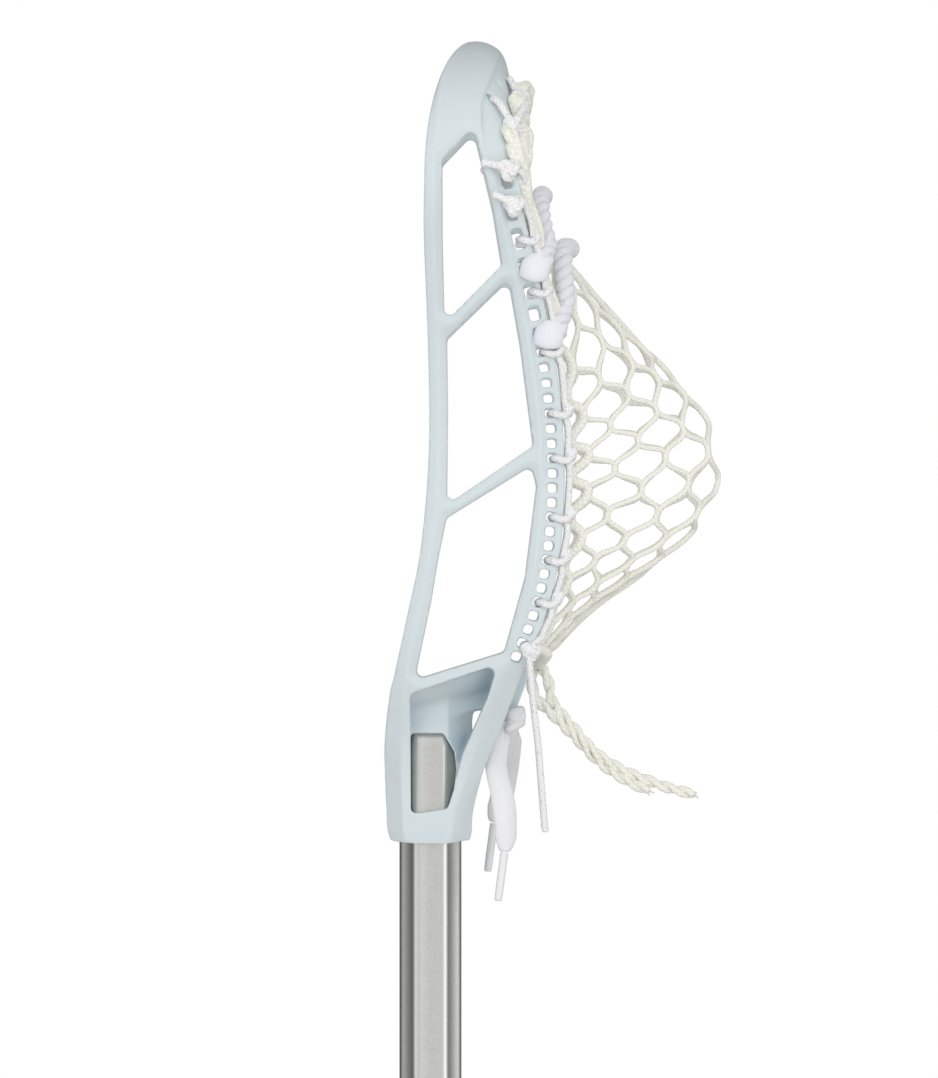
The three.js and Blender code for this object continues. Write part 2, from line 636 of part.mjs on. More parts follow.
const head = new THREE.Group();
head.position.z = MOUTH_HEIGHT;
head.add(
  makeHead(),
  makeScrew(),
  makeBallStopPad(),
  makeMeshPocket(),
  makeMeshTail(),
  makeTopString(),
  makeShootingString("shooting_string_upper", 236, 263, LACE_RADIUS),
  makeShootingString("shooting_string_lower", 210, 243, LACE_RADIUS + 0.6),
  makeBottomLace(),
  ...makeSideStrings(),
);

const shaft = makeShaft();
shaft.position.z = CAP_FLOOR;

const stick = new THREE.Group();
stick.add(shaft, makeButtCap(), head);

export default stick;
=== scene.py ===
"""The lacrosse stick's looks: a fine moulded head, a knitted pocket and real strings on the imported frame."""

import math

import bpy
import numpy as np
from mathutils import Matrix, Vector


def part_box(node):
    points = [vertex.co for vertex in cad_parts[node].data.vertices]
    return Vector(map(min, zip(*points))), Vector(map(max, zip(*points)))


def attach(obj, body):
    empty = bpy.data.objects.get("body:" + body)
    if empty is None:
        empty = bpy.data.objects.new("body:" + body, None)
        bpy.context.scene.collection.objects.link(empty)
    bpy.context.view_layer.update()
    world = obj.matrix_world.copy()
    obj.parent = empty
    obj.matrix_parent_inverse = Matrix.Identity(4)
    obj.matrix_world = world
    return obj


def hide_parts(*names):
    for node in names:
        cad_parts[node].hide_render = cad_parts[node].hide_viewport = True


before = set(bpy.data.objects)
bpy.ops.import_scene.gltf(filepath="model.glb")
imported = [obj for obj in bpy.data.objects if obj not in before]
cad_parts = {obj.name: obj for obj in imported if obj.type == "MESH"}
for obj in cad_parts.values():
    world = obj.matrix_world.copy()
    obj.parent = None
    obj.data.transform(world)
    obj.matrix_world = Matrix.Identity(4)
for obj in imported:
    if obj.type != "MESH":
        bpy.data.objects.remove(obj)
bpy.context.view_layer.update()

# Lengths are millimetres in the head's own frame: x towards the back, y across, height up from the socket's
# mouth. Pieces are written in metres in the row frame.
head_low, head_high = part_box("head_frame")
MOUTH = head_low.z * 1000
HEAD_LENGTH = (head_high.z - head_low.z) * 1000
SHAFT_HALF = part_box("shaft")[1].x * 1000
SHAFT_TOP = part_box("shaft")[1].z * 1000 - MOUTH
SHAFT_CORNER = 6.6
SOCKET_HALF = 17.2
CORE_CORNER = 10.1
# Thickness of the head's walls and of the band that holds the strings.
SHELL = 5.6
BAND = 3.6

rng = np.random.default_rng(7)


# ---- small helpers

def smooth(points):
    """A smooth function through (input, output) points."""
    table = np.array(points, float)
    inputs, outputs = table[:, 0], table[:, 1]
    place = np.arange(len(inputs))
    before, after = np.maximum(place - 1, 0), np.minimum(place + 1, len(inputs) - 1)
    slopes = (outputs[after] - outputs[before]) / (inputs[after] - inputs[before])

    def value(at):
        t = np.clip(at, inputs[0], inputs[-1])
        i = np.clip(np.searchsorted(inputs, t, side="right") - 1, 0, len(inputs) - 2)
        span = inputs[i + 1] - inputs[i]
        u = (t - inputs[i]) / span
        step = u * u * (3 - 2 * u)
        bend = u * (1 - u) * span * (slopes[i] * (1 - u) - slopes[i + 1] * u)
        return outputs[i] * (1 - step) + outputs[i + 1] * step + bend

    return value


def ramp(value, start, end):
    """0 up to start, 1 from end on, and an even curve between them."""
    t = np.clip((value - start) / (end - start), 0, 1)
    return t * t * (3 - 2 * t)


def soft_max(a, b, radius):
    """The larger of two distances, with the edge where they meet rounded off."""
    gap = np.clip(0.5 + 0.5 * (a - b) / radius, 0, 1)
    return b + (a - b) * gap + radius * gap * (1 - gap)


def soft_min(a, b, radius):
    return -soft_max(-a, -b, radius)


def to_frame(points):
    """Points in the head's frame, in millimetres, as points in the row frame, in metres."""
    return (np.asarray(points, float) + (0, 0, MOUTH)) / 1000


def cad_corners(node):
    """The low and the high corner of a CAD node's box, in the head's frame."""
    return [np.array(corner) * 1000 - (0, 0, MOUTH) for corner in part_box(node)]


def run_along(line):
    """The length of a line up to each of its points."""
    return np.concatenate([[0], np.cumsum(np.linalg.norm(np.diff(line, axis=0), axis=1))])


def new_mesh(name, points, faces, slot, replaces=(), body="stick", corner_uvs=None):
    """A smooth-shaded piece in its slot's material. corner_uvs holds one (u, v) for each face corner."""
    mesh = bpy.data.meshes.new(name)
    mesh.from_pydata(to_frame(points).tolist(), [], [list(map(int, face)) for face in faces])
    if corner_uvs is not None:
        layer = mesh.uv_layers.new(name="along")
        layer.data.foreach_set("uv", np.asarray(corner_uvs, np.float32).ravel())
    mesh.polygons.foreach_set("use_smooth", [True] * len(mesh.polygons))
    mesh.materials.append(MATERIALS[slot])
    piece = bpy.data.objects.new(name, mesh)
    bpy.context.scene.collection.objects.link(piece)
    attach(piece, body)
    if replaces:
        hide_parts(*replaces)
    return piece


# ---- the head's outline

# The scoop closes the head above CAP_BASE. CAP_POWER makes its arch squarer than an ellipse.
CAP_BASE = 272
CAP_RISE = HEAD_LENGTH - CAP_BASE
CAP_POWER = 2.2
APEX_X = 18.5
BACK_ROUND = 15.6
BACK_DROP = 17

face_edge = smooth([
    (0, -17.2), (35, -18.5), (60, -16.3), (90, -10.1), (120, -4), (160, -0.6), (200, -0.8), (250, -2.6),
    (CAP_BASE, -2.3),
])
back_edge = smooth([
    (0, 17.2), (12, 17.3), (30, 22), (46, 28.4), (75, 39.5), (93, 47), (115, 52.4), (148, 54.8), (180, 53.3),
    (205, 49.6), (240, 42.4), (255, 38.6), (CAP_BASE, 36),
])
half_width = smooth([
    (0, 17.2), (14, 17.4), (30, 19.5), (45, 25), (58, 33), (70, 38.5), (84, 42), (110, 44.5), (150, 46.5),
    (180, 50), (210, 57), (240, 68.5), (258, 76.5), (CAP_BASE, 79.5), (CAP_BASE + 16, 79.5),
])
flare = smooth([(0, 0), (70, 0), (150, 3), (CAP_BASE, 7)])
front_facet = smooth([(0, 6.6), (46, 6.6), (74, 4), (110, 0), (130, -3)])
back_facet = smooth([(0, 9), (12, 8), (33, 6.5), (60, 9), (74, 7), (86, -3)])


def outer_y(height, share):
    """Distance from the middle plane to the skin; share runs from 0 at the front edge to 1 at the back."""
    return half_width(height) + flare(height) * (0.5 - share)


def cap_rise(x):
    """How high the scoop stands above CAP_BASE: level in front of its apex and rounded down behind it."""
    past = np.clip((x - APEX_X) / BACK_ROUND, 0, 1)
    return CAP_RISE - BACK_DROP * (1 - np.sqrt(1 - past * past))


def lip_x(rise):
    """The scoop's front lip, which curves back to the apex as it rises."""
    return APEX_X - (APEX_X - face_edge(CAP_BASE)) * np.sqrt(1 - np.clip(rise, 0, 1) ** 2)


# Openings in the side view, as (x, height) corners that are rounded when they are cut.
WINDOWS = [
    [(17.8, 292), (4.8, 278.5), (4.9, 250), (6, 213), (29.2, 236), (25.5, 259)],
    [(6.8, 138.5), (7.2, 177), (6.8, 206.5), (32, 231), (36.8, 203), (42, 162.5)],
    [(6.6, 133), (3.4, 117.5), (0.3, 99), (-6.4, 66.8), (30.2, 78.2), (38.7, 108.6), (43.4, 146),
     (41.4, 154.5)],
]
RECESS = [(-8.6, 61.4), (-7.8, 12.8), (7.2, 14), (13.4, 36.4), (23.6, 59.6), (28, 74)]
SHAFT_WINDOW = [
    (-8.1, 44.9), (5.4, 44.9), (9.9, 37), (10.5, 30), (9.6, 22), (7, 14.2), (-5.5, 12.2), (-8, 13),
]

# The ball stop's floor, the throat under it, and the string holes and slots.
STOP_TILT = math.radians(16)
STOP_DIP = 57
STOP_RISE = 15
STOP_HALF = 38
THROAT_TOP = 84
CORE_TOP = 66
SOCKET_LIP = 5.2
HOLE_INSET = 5
FIRST_HOLE = 76.4
HOLE_PITCH = 5.5
PITCH_GROWTH = 0.0203
SMALL_HOLES = 22
SMALL_HOLE = (4.0, 4.1)
BAND_WIDTH = 8.6
LARGE_HOLES = [(207.8, 5.9), (216.3, 6), (225.3, 6.2), (235, 7.8), (246.4, 8.8), (258, 8.2), (270.9, 8.2)]
SLOT_ANGLES = (34, 46, 58, 70, 82)
SLOT_LEAN = math.radians(55)
SLOT_DEPTH = 3.2
SLOT_REACH = 2.1
SLOT_RADIUS = 0.95
SCREW_HEIGHT = 9
slot_x = smooth([(34, 24.9), (46, 28.8), (58, 31.6), (90, 31.8)])


def hole_heights():
    """(height, height of the hole, width of the hole) of every string hole in a sidewall."""
    small = [(FIRST_HOLE + HOLE_PITCH * i + PITCH_GROWTH * i * i, *SMALL_HOLE) for i in range(SMALL_HOLES)]
    large = [(at, tall, 4.5) for at, tall in LARGE_HOLES]
    return small + large


# ---- distance fields

def polygon_distance(x, height, corners):
    """Signed distance from a polygon in the side view: negative inside."""
    points = np.array(corners, float)
    nearest = np.full(np.broadcast(x, height).shape, np.inf)
    inside = np.zeros(nearest.shape, bool)
    for (ax, ah), (bx, bh) in zip(points, np.roll(points, -1, axis=0)):
        ex, eh = bx - ax, bh - ah
        t = np.clip(((x - ax) * ex + (height - ah) * eh) / (ex * ex + eh * eh), 0, 1)
        nearest = np.minimum(nearest, np.hypot(x - ax - t * ex, height - ah - t * eh))
        crosses = (ah > height) != (bh > height)
        inside ^= crosses & (x < ax + (height - ah) * ex / (eh if eh else 1e-9))
    return np.where(inside, -nearest, nearest)


def shrunk(corners, amount):
    """The polygon with every corner moved in by amount, so that growing it again rounds its corners."""
    points = np.array(corners, float)
    area = np.sum(points[:, 0] * np.roll(points[:, 1], -1) - np.roll(points[:, 0], -1) * points[:, 1])
    turn = 1 if area > 0 else -1
    moved = []
    for before, here, after in zip(np.roll(points, 1, axis=0), points, np.roll(points, -1, axis=0)):
        a = (here - before) / np.linalg.norm(here - before)
        b = (after - here) / np.linalg.norm(after - here)
        normals = [turn * np.array((-e[1], e[0])) for e in (a, b)]
        middle = normals[0] + normals[1]
        moved.append(here + middle * amount / max(1 + normals[0] @ normals[1], 0.35))
    return moved


def rounded_polygon(x, height, corners, radius):
    return polygon_distance(x, height, shrunk(corners, radius)) - radius


def rounded_box(x, height, centre, half, slope, radius):
    """Signed distance from a rounded rectangle turned by slope, in the side view."""
    dx, dh = x - centre[0], height - centre[1]
    c, s = math.cos(slope), math.sin(slope)
    across, along = dx * c - dh * s, dx * s + dh * c
    qx, qh = np.abs(across) - half[0] + radius, np.abs(along) - half[1] + radius
    return np.hypot(np.maximum(qx, 0), np.maximum(qh, 0)) + np.minimum(np.maximum(qx, qh), 0) - radius


def octagon_distance(x, y, half, cut):
    flats = np.maximum(np.abs(x), np.abs(y)) - half
    corners = (np.abs(x) + np.abs(y) - 2 * half + cut) / math.sqrt(2)
    return np.maximum(flats, corners)


def hole_field(x, height):
    """Distance to the nearest string hole of a sidewall, in the side view."""
    nearest = np.full(np.broadcast(x, height).shape, 99.0)
    for at, tall, wide in hole_heights():
        slope = math.atan((back_edge(at + 2) - back_edge(at - 2)) / 4)
        centre = (back_edge(at) - HOLE_INSET, at)
        hole = rounded_box(x, height, centre, (wide / 2, tall / 2), slope, 1.3)
        nearest = np.minimum(nearest, hole)
    return nearest


def slot_field(x, y, height):
    """Distance to the scoop's string slots: narrow, square to its skin and leaning down towards the back."""
    nearest = np.full(np.broadcast(x, y, height).shape, 99.0, np.float32)
    width = outer_y(CAP_BASE, 0.85)
    for degrees in SLOT_ANGLES:
        turn = math.radians(degrees)
        centre_x = float(slot_x(degrees))
        dy = y - width * math.cos(turn) ** (2 / CAP_POWER)
        dh = height - CAP_BASE - float(cap_rise(centre_x)) * math.sin(turn) ** (2 / CAP_POWER)
        along = dy * math.sin(turn) - dh * math.cos(turn)
        depth = np.abs(dy * math.cos(turn) + dh * math.sin(turn)) - SLOT_DEPTH
        dx = x - centre_x
        long = dx * math.cos(SLOT_LEAN) + along * math.sin(SLOT_LEAN)
        short = along * math.cos(SLOT_LEAN) - dx * math.sin(SLOT_LEAN)
        slot = np.maximum(np.hypot(np.maximum(np.abs(long) - SLOT_REACH, 0), short) - SLOT_RADIUS, depth)
        nearest = np.minimum(nearest, slot)
    return nearest


# Radii of the blends where two of the head's surfaces meet.
RIM_BLEND = 0.2
FACET_BLEND = 0.25
SOCKET_BLEND = 0.3
FOOT_BLEND = 0.4
HOLE_BLEND = 0.5
FILLET = 0.9
HOLLOW_FILLET = 1.6


def skin_field(x, y, low, rise):
    """Distance past the outer skin: sidewalls that flare to the front, closed over the top by the scoop."""
    spacing = float(x.ravel()[1] - x.ravel()[0])
    share = np.clip((x - face_edge(low)) / (back_edge(low) - face_edge(low)), 0, 1)
    ratio = (np.abs(y) / outer_y(low, share)) ** CAP_POWER + rise ** CAP_POWER
    ratio = (ratio ** (1 / CAP_POWER)).astype(np.float32)
    slopes = np.gradient(ratio, spacing)
    return (ratio - 1) / np.sqrt(sum(s * s for s in slopes))


def edge_fields(x, height, low, rise):
    """Distances past the head's front edge and its back edge, which are outlines in the side view."""
    spacing = float(x.ravel()[1] - x.ravel()[0])
    front = lip_x(rise) * (height > CAP_BASE) + face_edge(low) * (height <= CAP_BASE) - x
    back = x - back_edge(low) + 2 * np.clip(rise, 0, 1)
    for edge in (front, back):
        edge /= np.maximum(np.hypot(*np.gradient(edge[:, 0, :], spacing)), 1)[:, None, :]
    return front, back


def band_step(back, height):
    """How far the string band lies below the skin: a step on the sidewalls, a dished hollow on the scoop."""
    start = BAND_WIDTH + 5.5 * ramp(height, 262, 290) - 9 * ramp(height, 298, 326)
    on_scoop = ramp(height, 276, 292)
    step = ramp(-back, start + 0.5, start - 0.5) * (1 + 0.5 * on_scoop)
    step += 0.13 * np.clip(start + back, 0, 9) * on_scoop
    return step * (1 - ramp(height, 314, 327))


def chamfered(side, front, back, height):
    """The bevels between a side face and the front and back edges, flatter above the socket."""
    steep = 1 - 0.5 * ramp(height, 28, 48)
    bevels = side + steep * np.maximum(front + front_facet(height), back + back_facet(height))
    return bevels / np.sqrt(1 + steep * steep)


def stop_place(x, y, height):
    """Distances along and above the ball stop's floor, which tilts back and curves up to both sides."""
    tall = height + 1.5
    along = x * math.cos(STOP_TILT) + tall * math.sin(STOP_TILT)
    above = tall * math.cos(STOP_TILT) - x * math.sin(STOP_TILT) - STOP_DIP - STOP_RISE * (y / STOP_HALF) ** 2
    return along, above


def wall_field(outer, front, back, foot, lip, thickness, step, height):
    """The head's walls: a shell under the skin, cut off at its front and back edges and at the mouth."""
    wall = soft_max(outer + step + lip, -outer - thickness, 0.8)
    lip_bevel = 2.1 * np.clip(1.7 + outer, 0, 1.7) * (1 - ramp(height, 290, 318))
    wall = soft_max(wall, (front + lip_bevel + lip) * 0.5, RIM_BLEND)
    wall = soft_max(wall, back + lip, HOLE_BLEND)
    wall = soft_max(wall, foot, FOOT_BLEND)
    return soft_max(wall, chamfered(outer, front, back, height) + lip, FACET_BLEND)


def add_throat(wall, x, y, height, low, foot, lip):
    """The walls joined to the throat: a block under the ball stop, hollowed out around the socket's core."""
    stop = stop_place(x, y, height)[1]
    across = np.abs(y)
    front, back = face_edge(low) - x, x - back_edge(low)
    beside = across - half_width(low)
    block = np.maximum(beside, np.maximum(front, back))
    block = soft_max(block, chamfered(beside, front, back, height), FACET_BLEND) + lip
    block = soft_max(block, foot, FOOT_BLEND)
    block = soft_max(block, height - THROAT_TOP, 1)
    block = soft_max(block, stop, 1.2)

    plate = np.maximum(stop, -stop - 4)
    core = np.maximum(octagon_distance(x, y, SOCKET_HALF, CORE_CORNER), height - CORE_TOP)
    tab = soft_max(np.maximum(across - 13, back - 3.4), 54 - height, 1.5)
    tab = soft_max(tab, -x, 1)
    tab_end = soft_max(soft_max(tab, 30 - x, 0.5), stop, 1)
    kept = soft_min(soft_min(core, tab, 5), plate, 4)
    recess = rounded_polygon(x, height, RECESS, 3)
    gap = np.maximum(across - 9 - 12 * (height - 22) / 34, np.maximum(22 - height, height - 56))
    back_gap = soft_max(soft_max(gap, 17.5 - x, 1.5), -tab, HOLLOW_FILLET)
    ball_room = soft_max(beside + SHELL, -stop, 2)
    for hollow in (soft_max(recess, -kept, HOLLOW_FILLET), back_gap, ball_room):
        block = soft_max(block, -hollow, FILLET)
    wall_recess = soft_max(recess, -np.maximum(plate, across - 40), HOLLOW_FILLET)
    wall = soft_max(wall, -wall_recess, FILLET)
    return soft_min(soft_min(wall, block, 1.2), tab_end, 0.5)


def cut_openings(head, x, y, height, outer, thickness):
    """The head with its windows, socket, string holes, scoop slots and screw hole cut out."""
    across = np.abs(y)
    bevel = 2.1 * np.clip(1.7 + outer, 0, 1.7) + 0.5 * np.clip(1.2 - outer - thickness, 0, 1.2)
    for corners in WINDOWS:
        window = rounded_polygon(x, height, corners, 2.5)
        head = soft_max(head, (bevel - window) * 0.5, RIM_BLEND)
    socket = np.maximum(octagon_distance(x, y, SHAFT_HALF, SHAFT_CORNER), height - SHAFT_TOP)
    shaft_window = np.maximum(rounded_polygon(x, height, SHAFT_WINDOW, 1.6), 5 - across)
    slots = np.where(height > 276, slot_field(x, y, height), 99)
    from_screw = np.hypot(y, height - SCREW_HEIGHT)
    screw = np.maximum(from_screw - 2.1, 5 - x)
    counterbore = np.maximum(from_screw - 3.9, SOCKET_HALF - 2.2 - x)
    cuts = [
        (socket, SOCKET_BLEND), (shaft_window, SOCKET_BLEND), (hole_field(x, height) + 0 * y, HOLE_BLEND),
        (slots, HOLE_BLEND), (np.minimum(screw, counterbore), FOOT_BLEND),
    ]
    for opening, blend in cuts:
        head = soft_max(head, -opening, blend)
    return head


def head_field(x, y, height):
    """The moulded head as a distance field on a grid: x, y and height are open (broadcasting) axes."""
    low = np.minimum(height, CAP_BASE)
    rise = np.maximum(height - CAP_BASE, 0) / cap_rise(x)
    outer = skin_field(x, y, low, rise)
    front, back = edge_fields(x, height, low, rise)
    step = band_step(back, height)
    lip = 1.3 * np.clip(1 - height / SOCKET_LIP, 0, 1)
    foot = 1.4 * (x / SOCKET_HALF) ** 2 - height
    thickness = SHELL + 0.9 * ramp(-front, 9, 5) - (SHELL - BAND - 1) * ramp(-back, 12, 6)
    thickness = thickness + 0.8 * np.maximum(step - 1, 0)
    wall = wall_field(outer, front, back, foot, lip, thickness, step, height)
    head = add_throat(wall, x, y, height, low, foot, lip)
    return cut_openings(head, x, y, height, outer, thickness)


# ---- field to mesh

# The eight corners of a grid cell, and the pairs of corners that its twelve edges join.
CORNERS = [(i, j, k) for i in (0, 1) for j in (0, 1) for k in (0, 1)]
CELL_EDGES = [(a, b) for a in range(8) for b in range(a + 1, 8)
              if sum(p != q for p, q in zip(CORNERS[a], CORNERS[b])) == 1]


def surface_net(field, origin, spacing):
    """A quad mesh of the field's zero surface, one point in each cell that the surface crosses."""
    inside = field < 0
    size = [n - 1 for n in field.shape]

    def corner(array, offset):
        return array[tuple(slice(o, o + n) for o, n in zip(offset, size))]

    total = sum(corner(inside, c).astype(np.int8) for c in CORNERS)
    cells = np.argwhere((total > 0) & (total < 8))
    number = np.full(size, -1, np.int64)
    number[tuple(cells.T)] = np.arange(len(cells))
    values = np.stack([corner(field, c)[tuple(cells.T)] for c in CORNERS], axis=1)
    place, count = np.zeros((len(cells), 3)), np.zeros(len(cells))
    for a, b in CELL_EDGES:
        va, vb = values[:, a], values[:, b]
        hit = (va < 0) != (vb < 0)
        t = np.where(hit, va / np.where(hit, va - vb, 1), 0)
        point = np.array(CORNERS[a]) + t[:, None] * (np.array(CORNERS[b]) - np.array(CORNERS[a]))
        place += point * hit[:, None]
        count += hit
    points = np.array(origin) + spacing * (cells + place / count[:, None])
    faces = []
    for axis in range(3):
        u, v = (axis + 1) % 3, (axis + 2) % 3
        ahead = np.roll(inside, -1, axis)
        crossing = np.argwhere(inside != ahead)
        ok = np.all(crossing > 0, axis=1) & np.all(crossing < np.array(size), axis=1)
        crossing = crossing[ok]
        step_u, step_v = np.eye(3, dtype=int)[u], np.eye(3, dtype=int)[v]
        ring = [crossing, crossing - step_u, crossing - step_u - step_v, crossing - step_v]
        quads = np.stack([number[tuple(r.T)] for r in ring], axis=1)
        outward = inside[tuple(crossing.T)]
        quads[~outward] = quads[~outward][:, ::-1]
        faces.append(quads)
    return points, np.concatenate(faces)


def sample(field, points, origin, spacing):
    """The field's value and slope at points, by trilinear interpolation."""
    at = (points - origin) / spacing
    base = np.clip(np.floor(at).astype(int), 0, np.array(field.shape) - 2)
    near = at - base
    value, slope = np.zeros(len(points)), np.zeros((len(points), 3))
    for c in CORNERS:
        weights = [near[:, a] if c[a] else 1 - near[:, a] for a in range(3)]
        here = field[tuple((base + c).T)]
        value += here * weights[0] * weights[1] * weights[2]
        for axis in range(3):
            sign = 1 if c[axis] else -1
            slope[:, axis] += here * sign * weights[axis - 2] * weights[axis - 1]
    return value, slope / spacing


def relax(points, faces, field, origin, spacing, rounds=3):
    """Evens out the points and puts them back on the field's surface."""
    edges = np.concatenate([faces[:, [i, (i + 1) % 4]] for i in range(4)])
    degree = np.bincount(edges[:, 0], minlength=len(points))
    degree = degree + np.bincount(edges[:, 1], minlength=len(points))
    for _ in range(rounds):
        mean = np.empty_like(points)
        for axis in range(3):
            total = np.bincount(edges[:, 0], points[edges[:, 1], axis], len(points))
            total += np.bincount(edges[:, 1], points[edges[:, 0], axis], len(points))
            mean[:, axis] = total / degree
        points = points + 0.6 * (mean - points)
        for _ in range(2):
            value, slope = sample(field, points, origin, spacing)
            size = np.maximum(np.sum(slope * slope, axis=1), 0.2)
            points = points - np.clip(value / size, -0.5, 0.5)[:, None] * slope
    return points


def field_mesh(name, field, origin, spacing, slot, replaces):
    """A moulded piece from a sampled distance field."""
    points, faces = surface_net(field, origin, spacing)
    points = relax(points, faces, field, origin, spacing)
    return new_mesh(name, points, faces, slot, replaces)


def make_head():
    """The head, sampled on one half and mirrored, with its steep edges kept crisp."""
    spacing = 0.8
    x = np.arange(-21, 58, spacing)[:, None, None]
    y = (np.arange(0, 87 / spacing) * spacing)[None, :, None]
    height = np.arange(-4, HEAD_LENGTH + 4, spacing)[None, None, :]
    half = head_field(x, y, height).astype(np.float32)
    field = np.concatenate([half[:, :0:-1], half], axis=1)
    origin = np.array((x.ravel()[0], -y.ravel()[-1], height.ravel()[0]))
    head = field_mesh("head_moulding", field, origin, spacing, "head_nylon", ["head_frame"])
    head.data.set_sharp_from_angle(angle=math.radians(38))


def field_piece(name, function, low, high, spacing, slot, replaces):
    """A small moulded piece from a distance function of x, y and height."""
    axes = [np.arange(a - 2 * spacing, b + 2 * spacing, spacing) for a, b in zip(low, high)]
    field = function(*np.meshgrid(*axes, indexing="ij", sparse=True))
    field_mesh(name, field, np.array([axis[0] for axis in axes]), spacing, slot, replaces)


# ---- tubes, cords and knots

def curve(controls, step):
    """A smooth line through control points, as points about one step apart."""
    p = np.array(controls, float)
    p = np.concatenate([[2 * p[0] - p[1]], p, [2 * p[-1] - p[-2]]])
    pieces = []
    for a, b, c, d in zip(p, p[1:], p[2:], p[3:]):
        t = np.linspace(0, 1, 25)[:-1, None]
        pieces.append(0.5 * (2 * b + (c - a) * t + (2 * a - 5 * b + 4 * c - d) * t ** 2
                             + (3 * b - a - 3 * c + d) * t ** 3))
    return evenly(np.concatenate(pieces + [p[-2:-1]]), step)


def evenly(line, step):
    """The same line with its points one step apart."""
    run = run_along(line)
    count = max(int(run[-1] / step), 2) + 1
    at = np.linspace(0, run[-1], count)
    return np.stack([np.interp(at, run, line[:, axis]) for axis in range(3)], axis=1)


def frames(line):
    """Two directions square to the line at each point, turning with it as little as they can."""
    along = np.gradient(line, axis=0)
    along /= np.linalg.norm(along, axis=1)[:, None]
    side = np.cross(along[0], (0.0, 1.0, 0.3))
    sides = []
    for direction in along:
        side = side - direction * (side @ direction)
        side = side / np.linalg.norm(side)
        sides.append(side)
    sides = np.array(sides)
    return sides, np.cross(along, sides)


class Builder:
    """Collects tubes into one mesh: points, faces and each face corner's (length, turn) coordinates."""

    def __init__(self):
        self.points, self.faces, self.uvs, self.count = [], [], [], 0

    def rings(self, rings, lengths, closed=False):
        """A tube through rings of points, capped or closed on itself. lengths holds the way to each ring."""
        rows, sides = rings.shape[:2]
        index = self.count + np.arange(rows * sides).reshape(rows, sides)
        if closed:
            index = np.append(index, index[:1], axis=0)
            lengths = np.append(lengths, lengths[-1] + 1)
        corners = [index[:-1], np.roll(index[:-1], -1, axis=1), np.roll(index[1:], -1, axis=1), index[1:]]
        self.faces += np.stack(corners, axis=-1).reshape(-1, 4).tolist()
        turn = np.arange(sides) / sides
        start, end = np.repeat(lengths[:-1], sides), np.repeat(lengths[1:], sides)
        near, far = np.tile(turn, len(index) - 1), np.tile(turn + 1 / sides, len(index) - 1)
        self.uvs.append(np.stack([start, near, start, far, end, far, end, near], axis=1).reshape(-1, 2))
        if not closed:
            self.faces += [index[0][::-1].tolist(), index[-1].tolist()]
            self.uvs += [np.full((sides, 2), lengths[0]), np.full((sides, 2), lengths[-1])]
        self.points.append(rings.reshape(-1, 3))
        self.count += rows * sides

    def tube(self, line, radius, sides=10, weave=0.0, period=2.2, strands=4):
        """A cord along a line. weave is the height of its braid as a share of its radius."""
        line = np.asarray(line, float)
        first, second = frames(line)
        run = run_along(line)
        turn = np.arange(sides) / sides
        radius = np.broadcast_to(np.asarray(radius, float), (len(line),))[:, None]
        along, around = 2 * math.pi * run[:, None] / period, math.pi * strands * turn
        braid = np.sin(along + around) * np.sin(along - around)
        reach = (radius * (1 + weave * braid))[:, :, None]
        ring = first[:, None] * np.cos(2 * math.pi * turn)[None, :, None]
        ring = ring + second[:, None] * np.sin(2 * math.pi * turn)[None, :, None]
        self.rings(line[:, None] + reach * ring, run)

    def ribbon(self, line, half_wide, half_thick, wide_axis, sides=28, power=0.75):
        """A flat lace along a line, wide along wide_axis. At power 1 its section would be an ellipse."""
        along = np.gradient(line, axis=0)
        along /= np.linalg.norm(along, axis=1)[:, None]
        axis = np.broadcast_to(np.asarray(wide_axis, float), line.shape)
        wide = axis - along * np.sum(along * axis, axis=1)[:, None]
        wide /= np.linalg.norm(wide, axis=1)[:, None]
        thick = np.cross(along, wide)
        angle = 2 * math.pi * np.arange(sides) / sides
        across = np.sign(np.cos(angle)) * np.abs(np.cos(angle)) ** power
        up = np.sign(np.sin(angle)) * np.abs(np.sin(angle)) ** power
        half_wide = np.broadcast_to(half_wide, len(line))[:, None]
        half_thick = np.broadcast_to(half_thick, len(line))[:, None]
        rings = line[:, None] + wide[:, None] * (half_wide * across)[:, :, None]
        rings = rings + thick[:, None] * (half_thick * up)[:, :, None]
        self.rings(rings, run_along(line))

    def piece(self, name, slot, replaces=(), body="stick"):
        points, uvs = np.concatenate(self.points), np.concatenate(self.uvs)
        new_mesh(name, points, self.faces, slot, replaces, body, uvs)


STEP = 0.45
CORD = {"sides": 12, "weave": 0.11, "period": 2.4, "strands": 4}
KNIT = {"sides": 9, "weave": 0.16, "period": 2.6, "strands": 2}
THICK_KNIT = {**KNIT, "sides": 12}


def knot_line(centre, size, depth=1.0, turn=0.0):
    """A trefoil around a centre, which is how a pulled-tight knot lies. depth scales it across the stick."""
    t = np.linspace(0, 2 * math.pi, 120)
    x = (np.sin(t) + 2 * np.sin(2 * t)) / 3
    z = (np.cos(t) - 2 * np.cos(2 * t)) / 3
    y = -np.sin(3 * t) / 2.2 * depth
    c, s = math.cos(turn), math.sin(turn)
    line = np.stack([x * c - z * s, y, x * s + z * c], axis=1) * size
    return evenly(line + np.asarray(centre, float), STEP)


# ---- materials

